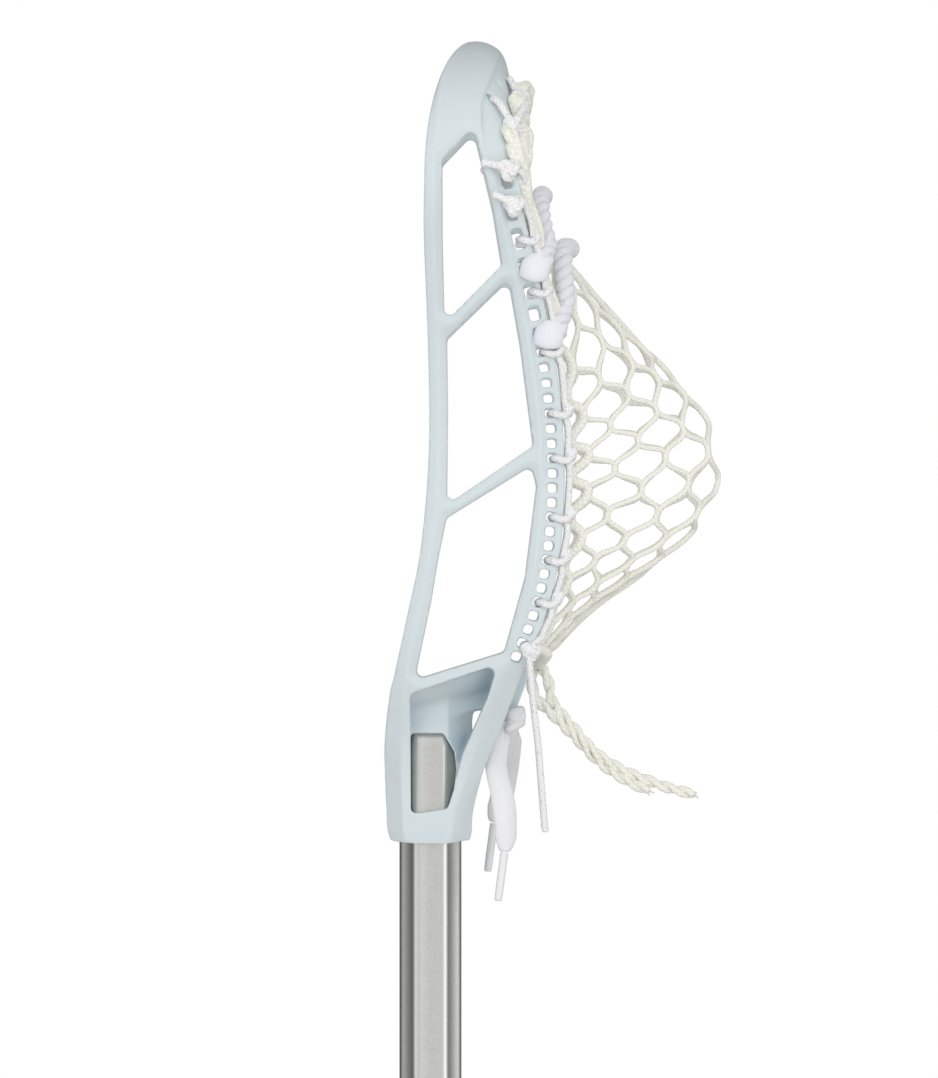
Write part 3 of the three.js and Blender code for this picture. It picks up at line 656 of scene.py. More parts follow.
class Nodes:
    """The node tree of a material or a world, with short ways to add and join nodes."""

    def __init__(self, owner):
        owner.use_nodes = True
        self.owner = owner
        self.tree = owner.node_tree

    def add(self, kind, **values):
        node = self.tree.nodes.new("ShaderNode" + kind)
        for key, value in values.items():
            setattr(node, key, value)
        return node

    def feed(self, socket, value):
        """Joins an output socket to an input socket, or sets the input to a number or a colour."""
        if hasattr(value, "is_linked"):
            self.tree.links.new(value, socket)
        elif socket.type == "RGBA":
            socket.default_value = (*value, 1)
        else:
            socket.default_value = value

    def math(self, operation, a, b=0.0):
        node = self.add("Math", operation=operation)
        self.feed(node.inputs[0], a)
        self.feed(node.inputs[1], b)
        return node.outputs[0]

    def noise(self, scale, detail=3.0, stretch=(1, 1, 1)):
        place = self.add("TexCoord")
        mapping = self.add("Mapping")
        mapping.inputs["Scale"].default_value = stretch
        self.tree.links.new(place.outputs["Object"], mapping.inputs["Vector"])
        node = self.add("TexNoise")
        node.inputs["Scale"].default_value = scale
        node.inputs["Detail"].default_value = detail
        self.tree.links.new(mapping.outputs[0], node.inputs["Vector"])
        return node.outputs["Fac"]

    def range(self, value, low, high, from_low=0.0, from_high=1.0):
        node = self.add("MapRange")
        self.feed(node.inputs["Value"], value)
        node.inputs["From Min"].default_value = from_low
        node.inputs["From Max"].default_value = from_high
        node.inputs["To Min"].default_value = low
        node.inputs["To Max"].default_value = high
        return node.outputs[0]

    def mix(self, factor, a, b, data_type="RGBA"):
        node = self.add("Mix", data_type=data_type)
        for name, value in (("Factor", factor), ("A", a), ("B", b)):
            self.feed(node.inputs[name], value)
        return node.outputs["Result"]

    def bump(self, height, distance, strength=1.0, below=None):
        node = self.add("Bump")
        node.inputs["Strength"].default_value = strength
        node.inputs["Distance"].default_value = distance
        self.feed(node.inputs["Height"], height)
        if below is not None:
            self.tree.links.new(below, node.inputs["Normal"])
        return node.outputs[0]

    def finish(self, color, roughness, normal=None, **others):
        """Feeds the material's shader and returns the material."""
        inputs = self.tree.nodes["Principled BSDF"].inputs
        self.feed(inputs["Base Color"], color)
        self.feed(inputs["Roughness"], roughness)
        if normal is not None:
            self.feed(inputs["Normal"], normal)
        for key, value in others.items():
            self.feed(inputs[key.replace("_", " ")], value)
        return self.owner

    def braid(self, period, strands):
        """A braid's height from the tube coordinates: 1 on each yarn's crown and 0 in the grooves."""
        place = self.add("UVMap", uv_map="along")
        split = self.add("SeparateXYZ")
        self.tree.links.new(place.outputs[0], split.inputs[0])
        along = self.math("MULTIPLY", split.outputs["X"], math.pi / period)
        around = self.math("MULTIPLY", split.outputs["Y"], math.pi * strands)
        one = self.math("ABSOLUTE", self.math("SINE", self.math("ADD", along, around)))
        two = self.math("ABSOLUTE", self.math("SINE", self.math("SUBTRACT", along, around)))
        return self.math("MULTIPLY", one, two)


def new_material(name):
    return Nodes(bpy.data.materials.new(name))


def nylon_material():
    n = new_material("moulded_nylon")
    cloud = n.noise(14, 2)
    color = n.mix(cloud, (0.655, 0.725, 0.745), (0.695, 0.758, 0.772))
    # Painted shade: an ambient-occlusion mask turns the nylon darker and bluer in its recesses, slots and
    # hollows, where shade falls; (0.46, 0.56, 0.625) is the painted shade colour.
    hollow = n.add("AmbientOcclusion", samples=6, only_local=True)
    hollow.inputs["Distance"].default_value = 0.016
    open_sky = n.range(hollow.outputs["AO"], 0, 1, 0.3, 0.85)
    color = n.mix(open_sky, (0.46, 0.56, 0.625), color)
    roughness = n.range(n.noise(420, 2), 0.34, 0.46)
    normal = n.bump(n.noise(2600, 2), 0.00004, 0.5)
    return n.finish(color, roughness, normal, Subsurface_Weight=0.25, Subsurface_Scale=0.004,
                    Subsurface_Radius=(0.8, 1.0, 1.2), Specular_IOR_Level=0.45)


def cord_material(name, crown, groove, period, strands, depth, fleck=None):
    n = new_material(name)
    braid = n.braid(period, strands)
    fuzz = n.noise(2400, 3)
    # Painted shade: the darker groove colour darkens the braid's grooves between the yarns, where shade falls.
    color = n.mix(n.range(braid, 0, 1, 0.05, 0.6), groove, crown)
    if fleck is not None:
        spots = n.range(n.noise(900, 1), 0, 1, 0.62, 0.7)
        color = n.mix(n.math("MULTIPLY", spots, 0.75), color, fleck)
    normal = n.bump(braid, depth, 0.8, n.bump(fuzz, 0.00012, 0.5))
    return n.finish(color, 0.86, normal, Sheen_Weight=0.25, Sheen_Roughness=0.5, Specular_IOR_Level=0.2)


def aluminium_material():
    n = new_material("satin_aluminium")
    grain = n.noise(900, 4, (1, 1, 0.02))
    sparkle = n.noise(1900, 1)
    speckle = n.mix(n.range(sparkle, 0, 1, 0.3, 0.7), (0.66, 0.663, 0.63), (0.80, 0.803, 0.77))
    color = n.mix(n.range(grain, 0, 0.3), speckle, (0.70, 0.703, 0.67))
    roughness = n.range(grain, 0.28, 0.38)
    normal = n.bump(sparkle, 0.00005, 0.6, n.bump(grain, 0.00002, 0.4))
    return n.finish(color, roughness, normal, Metallic=1.0)


def rubber_material():
    n = new_material("cap_rubber")
    color = n.mix(n.noise(60, 3), (0.012, 0.012, 0.013), (0.03, 0.03, 0.031))
    return n.finish(color, n.range(n.noise(300, 2), 0.62, 0.8), n.bump(n.noise(1500, 4), 0.00008, 0.6))


def foam_material():
    n = new_material("stop_foam")
    cells = n.add("TexVoronoi")
    cells.inputs["Scale"].default_value = 1100
    place = n.add("TexCoord")
    n.tree.links.new(place.outputs["Object"], cells.inputs["Vector"])
    color = n.mix(cells.outputs["Distance"], (0.035, 0.037, 0.04), (0.014, 0.015, 0.017))
    return n.finish(color, 0.95, n.bump(cells.outputs["Distance"], 0.0003, 0.7))


def steel_material():
    n = new_material("plated_steel")
    rings = n.noise(1500, 3)
    color = n.mix(rings, (0.55, 0.56, 0.57), (0.7, 0.71, 0.72))
    return n.finish(color, n.range(rings, 0.2, 0.35), Metallic=1.0)


def aglet_material():
    n = new_material("aglet_sleeve")
    color = n.mix(n.noise(500, 3), (0.82, 0.82, 0.84), (0.9, 0.9, 0.92))
    normal = n.bump(n.noise(700, 3), 0.00008, 0.4)
    return n.finish(color, 0.22, normal, Coat_Weight=0.4, Coat_Roughness=0.15)


def make_materials():
    """One material for each slot."""
    white, ivory, cool = (0.95, 0.95, 0.95), (0.95, 0.95, 0.87), (0.905, 0.91, 0.955)
    grey_fleck = (0.60, 0.60, 0.61)
    return {
        "head_nylon": nylon_material(),
        "shaft_aluminium": aluminium_material(),
        "cap_rubber": rubber_material(),
        "screw_steel": steel_material(),
        "stop_foam": foam_material(),
        "aglet_plastic": aglet_material(),
        # Each cord's second colour is the painted shade in its braid's grooves.
        "string_cord": cord_material("braided_cord", white, (0.84, 0.84, 0.85), 2.4, 4, 0.0003, grey_fleck),
        "mesh_cord": cord_material("knit_cord", ivory, (0.86, 0.862, 0.77), 2.6, 3, 0.0003),
        "shooting_lace": cord_material("soft_lace", cool, (0.86, 0.865, 0.92), 0.75, 34, 0.00014),
        "flat_lace": cord_material("woven_lace", (0.95, 0.95, 0.965), (0.86, 0.86, 0.88), 0.9, 34, 0.00015),
    }


MATERIALS = make_materials()


# ---- shaft, cap, screw and ball stop pad

SHAFT_WALL = 1.6
SHAFT_DISH = 0.32
CAP_WALL = 2.3
CAP_GROOVES = 5
GROOVE_PITCH = 4.4
GROOVE_DEPTH = 0.7


def octagon_ring(offset, height, corner=1.3, dish=0.0):
    """A ring of the shaft's section: eight flats, hollowed by dish, with rounded corners between them."""
    half = SHAFT_HALF + offset
    near = half - SHAFT_CORNER - offset * (math.sqrt(2) - 1)
    quarter = np.array([(half, -near), (half, near), (near, half), (-near, half)])
    corners = np.concatenate([quarter, -quarter])
    ring = []
    for before, here, after in zip(np.roll(corners, 1, axis=0), corners, np.roll(corners, -1, axis=0)):
        ahead = (after - here) / np.linalg.norm(after - here)
        enter = here + (before - here) / np.linalg.norm(before - here) * corner
        leave, end = here + ahead * corner, after - ahead * corner
        for t in np.linspace(0, 1, 5):
            ring.append(enter * (1 - t) ** 2 + here * 2 * t * (1 - t) + leave * t * t)
        inward = -(leave + end) / np.linalg.norm(leave + end)
        for t in np.linspace(0, 1, 9)[1:-1]:
            ring.append(leave + (end - leave) * t + inward * dish * 4 * t * (1 - t))
    return np.array([(x, y, height) for x, y in ring])


def make_shaft():
    low = cad_corners("shaft")[0][2]
    outer = [(-0.4, low), (0, low + 0.5)]
    outer += [(0, height) for height in np.linspace(low + 8, SHAFT_TOP - 8, 24)]
    outer += [(0, SHAFT_TOP - 0.5), (-0.4, SHAFT_TOP)]
    rings = [octagon_ring(offset, height, dish=SHAFT_DISH) for offset, height in outer]
    rings += [octagon_ring(-SHAFT_WALL, height, 0.8) for height in (SHAFT_TOP - 0.3, low + 0.3)]
    tube = Builder()
    tube.rings(np.array(rings), np.arange(len(rings)), closed=True)
    tube.piece("shaft_tube", "shaft_aluminium", ["shaft"])


def make_butt_cap():
    low, high = (corner[2] for corner in cad_corners("butt_cap"))
    length = high - low
    groove_wall = CAP_WALL - GROOVE_DEPTH
    profile = [(-2.2, 0), (0.3, 0.25), (1.5, 1.0), (2.1, 2.2), (CAP_WALL, 3.8), (CAP_WALL, 7)]
    for groove in range(CAP_GROOVES):
        start = 8 + GROOVE_PITCH * groove
        profile += [(CAP_WALL, start), (groove_wall, start + 0.45), (groove_wall, start + 1.1),
                    (CAP_WALL, start + 1.55)]
    profile += [(CAP_WALL, length - 5), (CAP_WALL - 0.3, length - 3), (1.6, length - 0.8), (1.0, length)]
    profile += [(0.35, length - 0.3), (0.3, length - 2), (0.3, 3.7)]
    rings = [octagon_ring(offset, low + height, 2.4) for offset, height in profile]
    cap = Builder()
    cap.rings(np.array(rings), np.arange(len(rings)))
    cap.piece("rubber_butt_cap", "cap_rubber", ["butt_cap"])


def make_screw():
    low, high = cad_corners("head_screw")
    middle = (low[2] + high[2]) / 2
    radius = high[1]

    def bar(long, short):
        return np.maximum(np.abs(short) - 0.42, np.abs(long) - 1.9)

    def field(x, y, height):
        dh = height - middle
        across = np.hypot(y, dh)
        dome = np.hypot(across, (x - high[0] + 2.6) * 1.5) - radius
        head = soft_max(np.maximum(across - radius, high[0] - 1.9 - x), dome, 0.2)
        thread = 0.18 * np.sin(2 * math.pi * x / 0.8 + np.arctan2(dh, y))
        shank = soft_max(across - 1.75 - thread, low[0] - x, 0.3)
        body = soft_min(head, np.maximum(shank, x - high[0] + 1), 0.3)
        cross = np.minimum(bar(dh, y), bar(y, dh))
        return soft_max(body, -np.maximum(cross, high[0] - 1.2 - x), 0.15)

    field_piece("socket_screw", field, low, high, 0.2, "screw_steel", ["head_screw"])


def make_ball_stop_pad():
    def field(x, y, height):
        along, above = stop_place(x, y, height)
        slab = soft_max(0.3 - above, above - 4.4, 1.2)
        ends = soft_max(np.maximum(14 - along, along - 43.8), np.abs(y) - 21.8, 5)
        return soft_max(slab, ends, 1.5)

    low, high = cad_corners("ball_stop_pad")
    field_piece("foam_ball_stop", field, low, high, 0.6, "stop_foam", ["ball_stop_pad"])


# ---- the mesh

# The net: BAR is a bar's half length and FIRST_GAP its edge columns' width, as shares of a row and a column.
MESH_BOTTOM = 80.5
MESH_POWER = 2.2
COLUMNS = 15
ROWS = 20
STRAND = 1.1
SELVAGE = 2.2
BAR = 0.26
FIRST_GAP = 0.72
TOUCHING = 0.92
SELVAGE_SPREAD = 1.4
WANDER = (0.011, 0.004)

pocket_depth = smooth([
    (79, 51), (94, 65.5), (109, 86), (124, 105), (138, 115.4), (155.5, 119.2), (172, 115), (190, 101),
    (212, 80), (230, 64), (250, 47.2), (263, 42.2), (280, 39), (310, 34.5),
])
edge_gap = smooth([(60, 1.4), (236, 1.4), (250, 1.2), (CAP_BASE, 0.6)])
edge_rows = smooth([(0, 81), (1.5, 105), (3.5, 142), (5.5, 171), (6.5, 192), (8, 226), (ROWS / 2, 268)])


def lace_edge(height):
    return back_edge(height) + edge_gap(height)


def mesh_half(height):
    return outer_y(np.minimum(height, CAP_BASE), 1) - SHELL - 2


def mesh_top(share):
    rise = CAP_RISE - 22 - SHELL
    return CAP_BASE - 6 + (rise + 6) * (1 - np.abs(share) ** CAP_POWER) ** (1 / CAP_POWER)


def mesh_point(share, height, lift=0.0):
    """A point half a strand under the mesh's outer skin."""
    sag = 1 - np.abs(share) ** MESH_POWER
    edge = lace_edge(height)
    x = edge + (np.maximum(pocket_depth(height), edge) - edge) * sag - STRAND + lift
    return np.stack(np.broadcast_arrays(x, share * mesh_half(height), height), axis=-1)


def mesh_table():
    """Points of the mesh on a grid with equal steps of length across it, and along it from bottom to top."""
    shares = np.linspace(-0.985, 0.985, 121)
    across = np.linspace(0, 1, 61)
    heights = np.linspace(MESH_BOTTOM, CAP_BASE, 160)
    table = []
    for height in heights:
        row = mesh_point(shares, np.full_like(shares, height))
        run = run_along(row)
        table.append(np.interp(across * run[-1], run, shares))
    table = np.array(table)
    rows = np.linspace(0, 1, 261)
    middle = np.linspace(MESH_BOTTOM, float(mesh_top(0)), 300)
    line = mesh_point(np.zeros(300), middle)
    run = run_along(line)
    middle = np.interp(rows, run / run[-1], middle)
    edge = edge_rows(rows * ROWS / 2)
    grid = []
    for column, a in enumerate(2 * across - 1):
        top = float(mesh_top(table[-1, column]))
        share_in = 1 - abs(a) ** 1.1
        levels = edge + (middle - edge) * share_in
        levels += (top - levels[-1]) * rows ** 3
        share = np.interp(levels, heights, table[:, column])
        grid.append(mesh_point(share, levels))
    return np.array(grid)


def on_mesh(table, across, along):
    """Points of the mesh at positions across (-1 to 1) and along (0 to 1) it."""
    i = np.clip((across + 1) / 2 * (table.shape[0] - 1), 0, table.shape[0] - 1.001)
    j = np.clip(along * (table.shape[1] - 1), 0, table.shape[1] - 1.001)
    a, b = np.floor(i).astype(int), np.floor(j).astype(int)
    u, v = (i - a)[..., None], (j - b)[..., None]
    near = table[a, b] * (1 - v) + table[a, b + 1] * v
    far = table[a + 1, b] * (1 - v) + table[a + 1, b + 1] * v
    return near * (1 - u) + far * u


def make_mesh_pocket():
    """Zigzag strands: each runs beside its left neighbour at one row of bars, its right one at the next."""
    table = mesh_table()
    gaps = np.array([FIRST_GAP] + [1] * (COLUMNS - 3) + [FIRST_GAP])
    places = np.concatenate([[0], np.cumsum(gaps)]) / gaps.sum() * 2 - 1
    wander = rng.normal(0, 1, (COLUMNS, ROWS + 1, 2)) * WANDER
    wander[[0, -1]] = 0
    net = Builder()
    for strand in range(COLUMNS - 1):
        edge = strand in (0, COLUMNS - 2)
        line = []
        for row in range(ROWS + 1):
            left = (strand + row) % 2 == 0
            column = strand if left else strand + 1
            a = places[column] + wander[column, row, 0]
            v = row / ROWS + wander[column, row, 1]
            inward = -math.copysign(0.01, a)
            here, beside = on_mesh(table, np.array([a, a + inward]), np.array([v, v]))
            sideways = (beside - here) / np.linalg.norm(beside - here) * math.copysign(1, inward)
            offset = (TOUCHING if left else -TOUCHING) * (SELVAGE_SPREAD if edge else 1)
            for end in (-BAR, BAR):
                at = np.array([np.clip(v + end / ROWS, 0, 1)])
                line.append(on_mesh(table, np.array([a]), at)[0] + sideways * offset)
        first = line[0]
        gather = [(44.6, first[1] * 0.04, 72.9), (45.6, first[1] * 0.3, 74.6), (47.4, first[1] * 0.72, 77.8)]
        width = SELVAGE if edge else STRAND
        path = curve(gather + line, 0.56)
        net.tube(path, width, **({**THICK_KNIT, "period": 3.4} if edge else KNIT))
    net.piece("mesh_net", "mesh_cord", ["mesh_pocket"])


# ---- strings on the head

CORD_RADIUS = 1.25
END_RADIUS = 1.55
LOOP_RADIUS = 1.45
LOOP_HEIGHTS = [98.6, 115.9, 133.4, 157.4, 175.8, 200.8, 225.3, 246.4]

# One hitch of the cord through its hole and round the band: (up, back, out) at each turn.
HITCH = [
    (-0.4, -4.8, -2.6), (0.1, -4.2, 0.2), (-0.2, -2.8, 2.5), (-0.9, -0.6, 3.1), (-0.6, 1.7, 2.8),
    (1.0, 3.2, 1.2), (0.4, 3.6, -1.2), (-0.4, 1.6, -2.9), (-0.2, -2.2, -3.4), (-0.4, -4.8, -2.6),
]


def beside(side, height, share, out):
    """Distance across to a point out from the outer skin; share runs from the front edge to the back one."""
    return side * (outer_y(height, share) + out)


def on_band(side, height, back, out):
    """A point beside a string band, measured back from its rear edge and out from its middle."""
    return (back_edge(height) + back, beside(side, height, 0.94, out - 2.8), height)


def make_sidewall_string(word, side):
    """The cord that hitches one edge of the mesh to the sidewall, loop by loop."""
    string = Builder()
    heights = [87] + [h + shift for h in LOOP_HEIGHTS for shift in (-5.5, -0.6, 3.2)] + [254]
    line = []
    for i, height in enumerate(heights):
        swing = 1.1 * math.sin(i * 2.1)
        line.append(on_band(side, height, 1.7 + 0.6 * swing, 0.9 + 0.7 * swing))
    top_knot = (34.0, beside(side, 260, 0.8, 2.0), 260.2)
    low_knot = (40, beside(side, 79.5, 1, 1.6), 79.5)
    start = [low_knot, (43.2, beside(side, 83, 1, 1.3), 82.4), on_band(side, 84.5, 1.9, 2.6)]
    end = [on_band(side, 258, 1.4, 2.4), (38.2, beside(side, 260, 1, 1.5), 260.5), top_knot]
    string.tube(curve(start + line + end, STEP), CORD_RADIUS, **CORD)
    for height in LOOP_HEIGHTS:
        hook = [on_band(side, height + up, back, out) for up, back, out in HITCH]
        string.tube(curve(hook, STEP), LOOP_RADIUS, **CORD)
        if height < 200:
            knot = on_band(side, height + 2.2, 2.9, 0.9)
            string.tube(knot_line(knot, 1.5, turn=height), CORD_RADIUS, **CORD)
    big_knot(string, top_knot, 3.4, side)
    big_knot(string, low_knot, 2.0, side)
    big_knot(string, np.array(low_knot) + (2.6, -side * 0.4, -0.6), 1.6, side)
    cord_end(string, [
        np.array(top_knot) + (-1, side * 1.3, 0), (30, beside(side, 262, 0.7, 2.9), 262.6),
        (25.1, beside(side, 264, 0.6, 2.4), 264.8),
    ])
    string.piece(f"sidewall_cord_{word}", "string_cord", [f"sidewall_string_{word}"])


def big_knot(builder, centre, size, side):
    """An overhand knot pulled down to a ball, with a second turn laid over it."""
    builder.tube(knot_line(centre, size, 0.8), 1.7, **CORD)
    over = np.array(centre) + (0.2, side * 1.1, -0.1)
    builder.tube(knot_line(over, size * 0.62, 0.9, turn=1.05), 1.5, **CORD)


def cord_end(builder, points):
    """A cut end: the cord, a tight sleeve where it was melted, and the bead at its tip."""
    line = curve(points, 0.35)
    run = np.linspace(0, 1, len(line))
    melted = 1 - 0.08 * ramp(run, 0.4, 0.55) + 0.24 * ramp(run, 0.76, 0.88)
    bead = np.sqrt(np.clip(1 - ramp(run, 0.86, 1.0) ** 2, 0.04, 1))
    builder.tube(line, END_RADIUS * melted * bead, sides=16, weave=0.05, period=2.4)


def rim_point(side, degrees, x, inset):
    """A point of the scoop's rear rim at an angle up from the sidewall, inset from its outer skin."""
    turn = math.radians(degrees)
    share = (x - face_edge(CAP_BASE)) / (back_edge(CAP_BASE) - face_edge(CAP_BASE))
    reach = abs(math.cos(turn)) ** (2 / CAP_POWER) * math.copysign(1, math.cos(turn))
    rise = (cap_rise(min(x, 34)) - inset) * math.sin(turn) ** (2 / CAP_POWER)
    return (x, beside(side, CAP_BASE, share, -inset) * reach, CAP_BASE + rise)


# The top cord's loose ends on each side, and the folds of mesh under the scoop's slots.
TOP_ENDS = [
    [(50, 35.4, -0.6), (48, 37.6, -1.4), (50, 39.0, -1.2)],
    [(43, 38.8, -0.6), (34, 36.8, -2.4), (27, 34.6, -3.2)],
]
FOLDS = [(10, 35.2, -2), (17.5, 33.8, -2.5), (45, 35, 3), (58, 36.4, 3)]


def make_top_string():
    """The cord that ties the mesh to the scoop: an arch behind the rim, slot hitches and corner knots."""
    string = Builder()
    arch = [rim_point(-1, degrees, 36.6, 1.4 + 0.9 * (i % 2) + 3.4 * math.sin(math.radians(degrees)))
            for i, degrees in enumerate(np.linspace(2, 178, 41))]
    string.tube(curve(arch, STEP), CORD_RADIUS, **CORD)
    for degrees in SLOT_ANGLES[:3:2]:
        at = float(slot_x(degrees))
        hitch = [
            (0, at + 0.6, 3.5), (-0.6, at + 1.0, 0.2), (-3, at + 3.2, -1.4), (-7, at + 6.4, -1.3),
            (-9, 36.4, 0.4), (-7, 36.6, 4.4), (-3, 33.4, 5.4), (0, at + 0.6, 3.5),
        ]
        for side in (-1, 1):
            path = [rim_point(side, degrees + up, x, inset) for up, x, inset in hitch]
            string.tube(curve(path, STEP), LOOP_RADIUS, **CORD)
            big_knot(string, rim_point(side, degrees - 9, min(at + 8, 36), -0.4), 1.9, side)
    for side in (-1, 1):
        for end in TOP_ENDS:
            cord_end(string, [rim_point(side, *place) for place in end])
    for side in (-1, 1):
        knot = (31.8, beside(side, CAP_BASE, 0.8, 2.1), 274.6)
        tie = [on_band(side, 268, 1.6, -0.6), on_band(side, 271, 2.2, 2.0),
               (36.4, beside(side, CAP_BASE, 0.9, 1.9), 274), knot]
        string.tube(curve(tie, STEP), CORD_RADIUS, **CORD)
        big_knot(string, knot, 3.5, side)
        cord_end(string, [
            (31.0, knot[1] + side * 1.2, 275.2), (26, beside(side, CAP_BASE, 0.7, 2.9), 276.4),
            (20.5, beside(side, CAP_BASE, 0.6, 2.5), 277.6),
        ])
    string.piece("top_cord", "string_cord", ["top_string"])


def make_top_bunches():
    """The mesh's top edge, gathered into bunches under the scoop's slots and down both rear corners."""
    bunches = Builder()
    step = 0.6
    for side in (-1, 1):
        strip = [on_band(side, height, 2.4 + 0.5 * math.sin(height), -1.0 + 0.6 * math.cos(height * 0.9))
                 for height in (208, 220, 232, 244, 254, 262, 268)]
        strip += [rim_point(side, degrees, 36.4 + (i % 2), 3.0 + 3.6 * math.sin(math.radians(degrees)))
                  for i, degrees in enumerate(range(4, 94, 7))]
        line = curve(strip, step)
        run = np.arange(len(line)) * step
        full = ramp(run, 55, 68)
        bunches.tube(line, 1.8 + 1.0 * full + 0.8 * full * np.sin(run / 4.1) ** 2, **THICK_KNIT)
        for ply, (back, reach) in enumerate([(1.6, 1.4), (-1.2, 2.2)]):
            drift = np.array([1.3, 0, -0.9]) * np.sin(run / (6 + ply))[:, None]
            bunches.tube(line + drift + (back, -side * reach, 0), 1.2 + 0.9 * full, **KNIT)
        for degrees, x, slant in FOLDS:
            for shift in (-1.3, 1.3):
                places = [
                    (5 + shift, slant + shift, 3.5), (2.5 + shift, slant / 2 + shift, -0.6),
                    (-1.5, shift, -1.2), (-6, 1.5 - slant / 2, 0.8), (-9, 2.5 - slant / 2, 3.4),
                ]
                fold = [rim_point(side, degrees + up, x + back, inset) for up, back, inset in places]
                bunches.tube(curve(fold, step), 2.1, **THICK_KNIT)
    bunches.piece("mesh_top_gather", "mesh_cord")


def twisted(builder, line, plies, radius, wander, pitch, **style):
    """A rope: plies that wind round a line."""
    first, second = frames(line)
    run = run_along(line)
    for ply in range(plies):
        angle = (2 * math.pi * (run / pitch + ply / plies))[:, None]
        builder.tube(line + wander * (first * np.cos(angle) + second * np.sin(angle)), radius, **style)


# A flat lace's turns round the string band, as (back, out, share of its width): narrow in the hole.
WRAP = [
    (-5.4, -0.4, 0.7), (-4.4, 2.0, 0.84), (-2.0, 3.3, 1), (1.2, 3.2, 1), (3.2, 1.8, 0.94), (3.4, -0.8, 0.9),
    (1.6, -3.2, 0.86), (-1.8, -3.6, 0.82), (-4.6, -2.4, 0.7), (-5.4, -0.4, 0.7),
]


def lace_wrap(builder, side, height, wide):
    """A flat lace wrapped round the string band and spread over the band's outer face."""
    line = curve([on_band(side, height, back, out) for back, out, _ in WRAP], 0.5)
    spread = np.interp(np.linspace(0, 1, len(line)), np.linspace(0, 1, len(WRAP)), [turn[2] for turn in WRAP])
    builder.ribbon(line, wide / 2 * spread, 2.0, (0.18, 0, 1), power=0.82)


def make_shooting_string(word, low, high, radius, wrap_height):
    """A lace twisted across the back of the mesh and wrapped round both string bands."""
    lace = Builder()
    shares = 0.97 * np.sin(np.linspace(-math.pi / 2, math.pi / 2, 23))
    heights = high + (low - high) * np.abs(shares) ** 8
    path = mesh_point(shares, heights, radius + 1.0 + STRAND).tolist()
    left, right = ([on_band(side, wrap_height, 2.6, -1.2), on_band(side, wrap_height + 5, 4.4, -0.6)]
                   for side in (-1, 1))
    line = curve(left + path + right[::-1], 0.6)
    twisted(lace, line, 2, radius * 0.56, radius * 0.48, 8.4, sides=16)
    for side in (-1, 1):
        lace_wrap(lace, side, wrap_height, 12)
    lace.piece(f"shooting_lace_{word}", "shooting_lace", [f"shooting_string_{word}"])


# ---- laces and tails at the throat

LACE_KNOT = np.array((34.5, 15, 51))
LACE_ENDS = {
    "left": [(0, -0.6), (-4.5, -4.5), (-7.0, -11), (-7.5, -20.3), (-5.2, -31), (-3.9, -40), (-3.6, -48),
             (-4.2, -54.5)],
    "right": [(0, -0.6), (-1.2, -5), (-1.8, -9), (-2.6, -19), (-5.0, -31), (-7.6, -39.5), (-8.4, -43)],
}
LACE_HALF_WIDTH = 4.75
# The aglet's width along its length, as (distance from the lace, share of its radius).
AGLET_PROFILE = [
    (0.4, 0.80), (0.5, 0.98), (1.0, 1.0), (6, 0.98), (12, 0.99), (17, 0.97), (19, 0.93), (20.0, 0.86),
    (20.35, 0.6),
]
AGLET_RADIUS = 1.65
AGLET_LEAN = math.radians(7.5)


def lace_knot(side):
    return LACE_KNOT * (1, side, 1)


def make_bottom_lace():
    """The lace that gathers the mesh across the throat, knotted behind it on both sides."""
    lace = Builder()
    rise = LACE_KNOT + [(0, 0, 0), (-1.4, -4, 3), (-1, -7, 9), (2.5, -10, 16), (7, -13, 21), (10, -15, 23)]
    other = rise[:-1][::-1] * (1, -1, 1)
    lace.ribbon(curve(np.concatenate([rise, other]), 0.6), 2.1, 1.1, (1, 0, 0.3))
    turn = np.linspace(0, 2 * math.pi, 40)
    x, y = 2.5 * np.cos(turn), 2.7 * np.sin(turn)
    for side in (-1, 1):
        lace.tube(knot_line(lace_knot(side), 2.5, 0.9), 2.4, sides=16)
        for lift, lean in ((-2.9, 0.5), (0.4, -0.45), (2.6, 0.2)):
            wrap = np.stack([x, y, lift + lean * x], axis=1)
            lace.tube(evenly(wrap + lace_knot(side), STEP), 1.95, sides=16)
    lace.piece("throat_lace", "flat_lace", ["bottom_lace"])


def make_lace_tail(word, side):
    """A flat woven lace end: it leaves its knot rolled up, opens flat, and rolls up again into its aglet."""
    centre = lace_knot(side) + (0, side, 0)
    line = curve([centre + (x, 0, z) for x, z in LACE_ENDS[word]], 0.5)
    run = np.linspace(0, 1, len(line))
    line[:, 1] -= side * 5.0 * np.exp(-((run - 0.3) / 0.2) ** 2)
    turned = 0.4 * np.cos(run * 7)
    length = len(line) * 0.5
    open_top = 0.42 + 0.58 * ramp(run * length, 1, 9)
    open_end = 0.26 + 0.74 * np.sqrt(np.clip((1 - run) * length / 6, 0, 1))
    opened = np.minimum(open_top, open_end)
    across = np.stack([np.cos(turned), np.sin(turned), 0 * turned], axis=1)
    lace = Builder()
    lace.ribbon(line, LACE_HALF_WIDTH * opened, 0.8 + 0.5 * (1 - opened), across)
    lace.piece(f"flat_lace_{word}", "flat_lace", [f"lace_tail_{word}"], f"lace_end_{word}")


def make_aglet(word, side):
    x, z = LACE_ENDS[word][-1]
    end = lace_knot(side) + (x, side, z)
    down = np.array((-math.sin(AGLET_LEAN), 0, -math.cos(AGLET_LEAN)))
    line = np.array([end + down * at for at, _ in AGLET_PROFILE])
    aglet = Builder()
    aglet.tube(line, [AGLET_RADIUS * share for _, share in AGLET_PROFILE], sides=24)
    aglet.piece(f"aglet_sleeve_{word}", "aglet_plastic", [f"aglet_{word}"], f"lace_end_{word}")


SIDEWALL_TAIL = [(0.3, -2.9), (2.4, -24.6), (4.1, -39), (5.3, -54), (6.5, -69), (7, -74.6)]


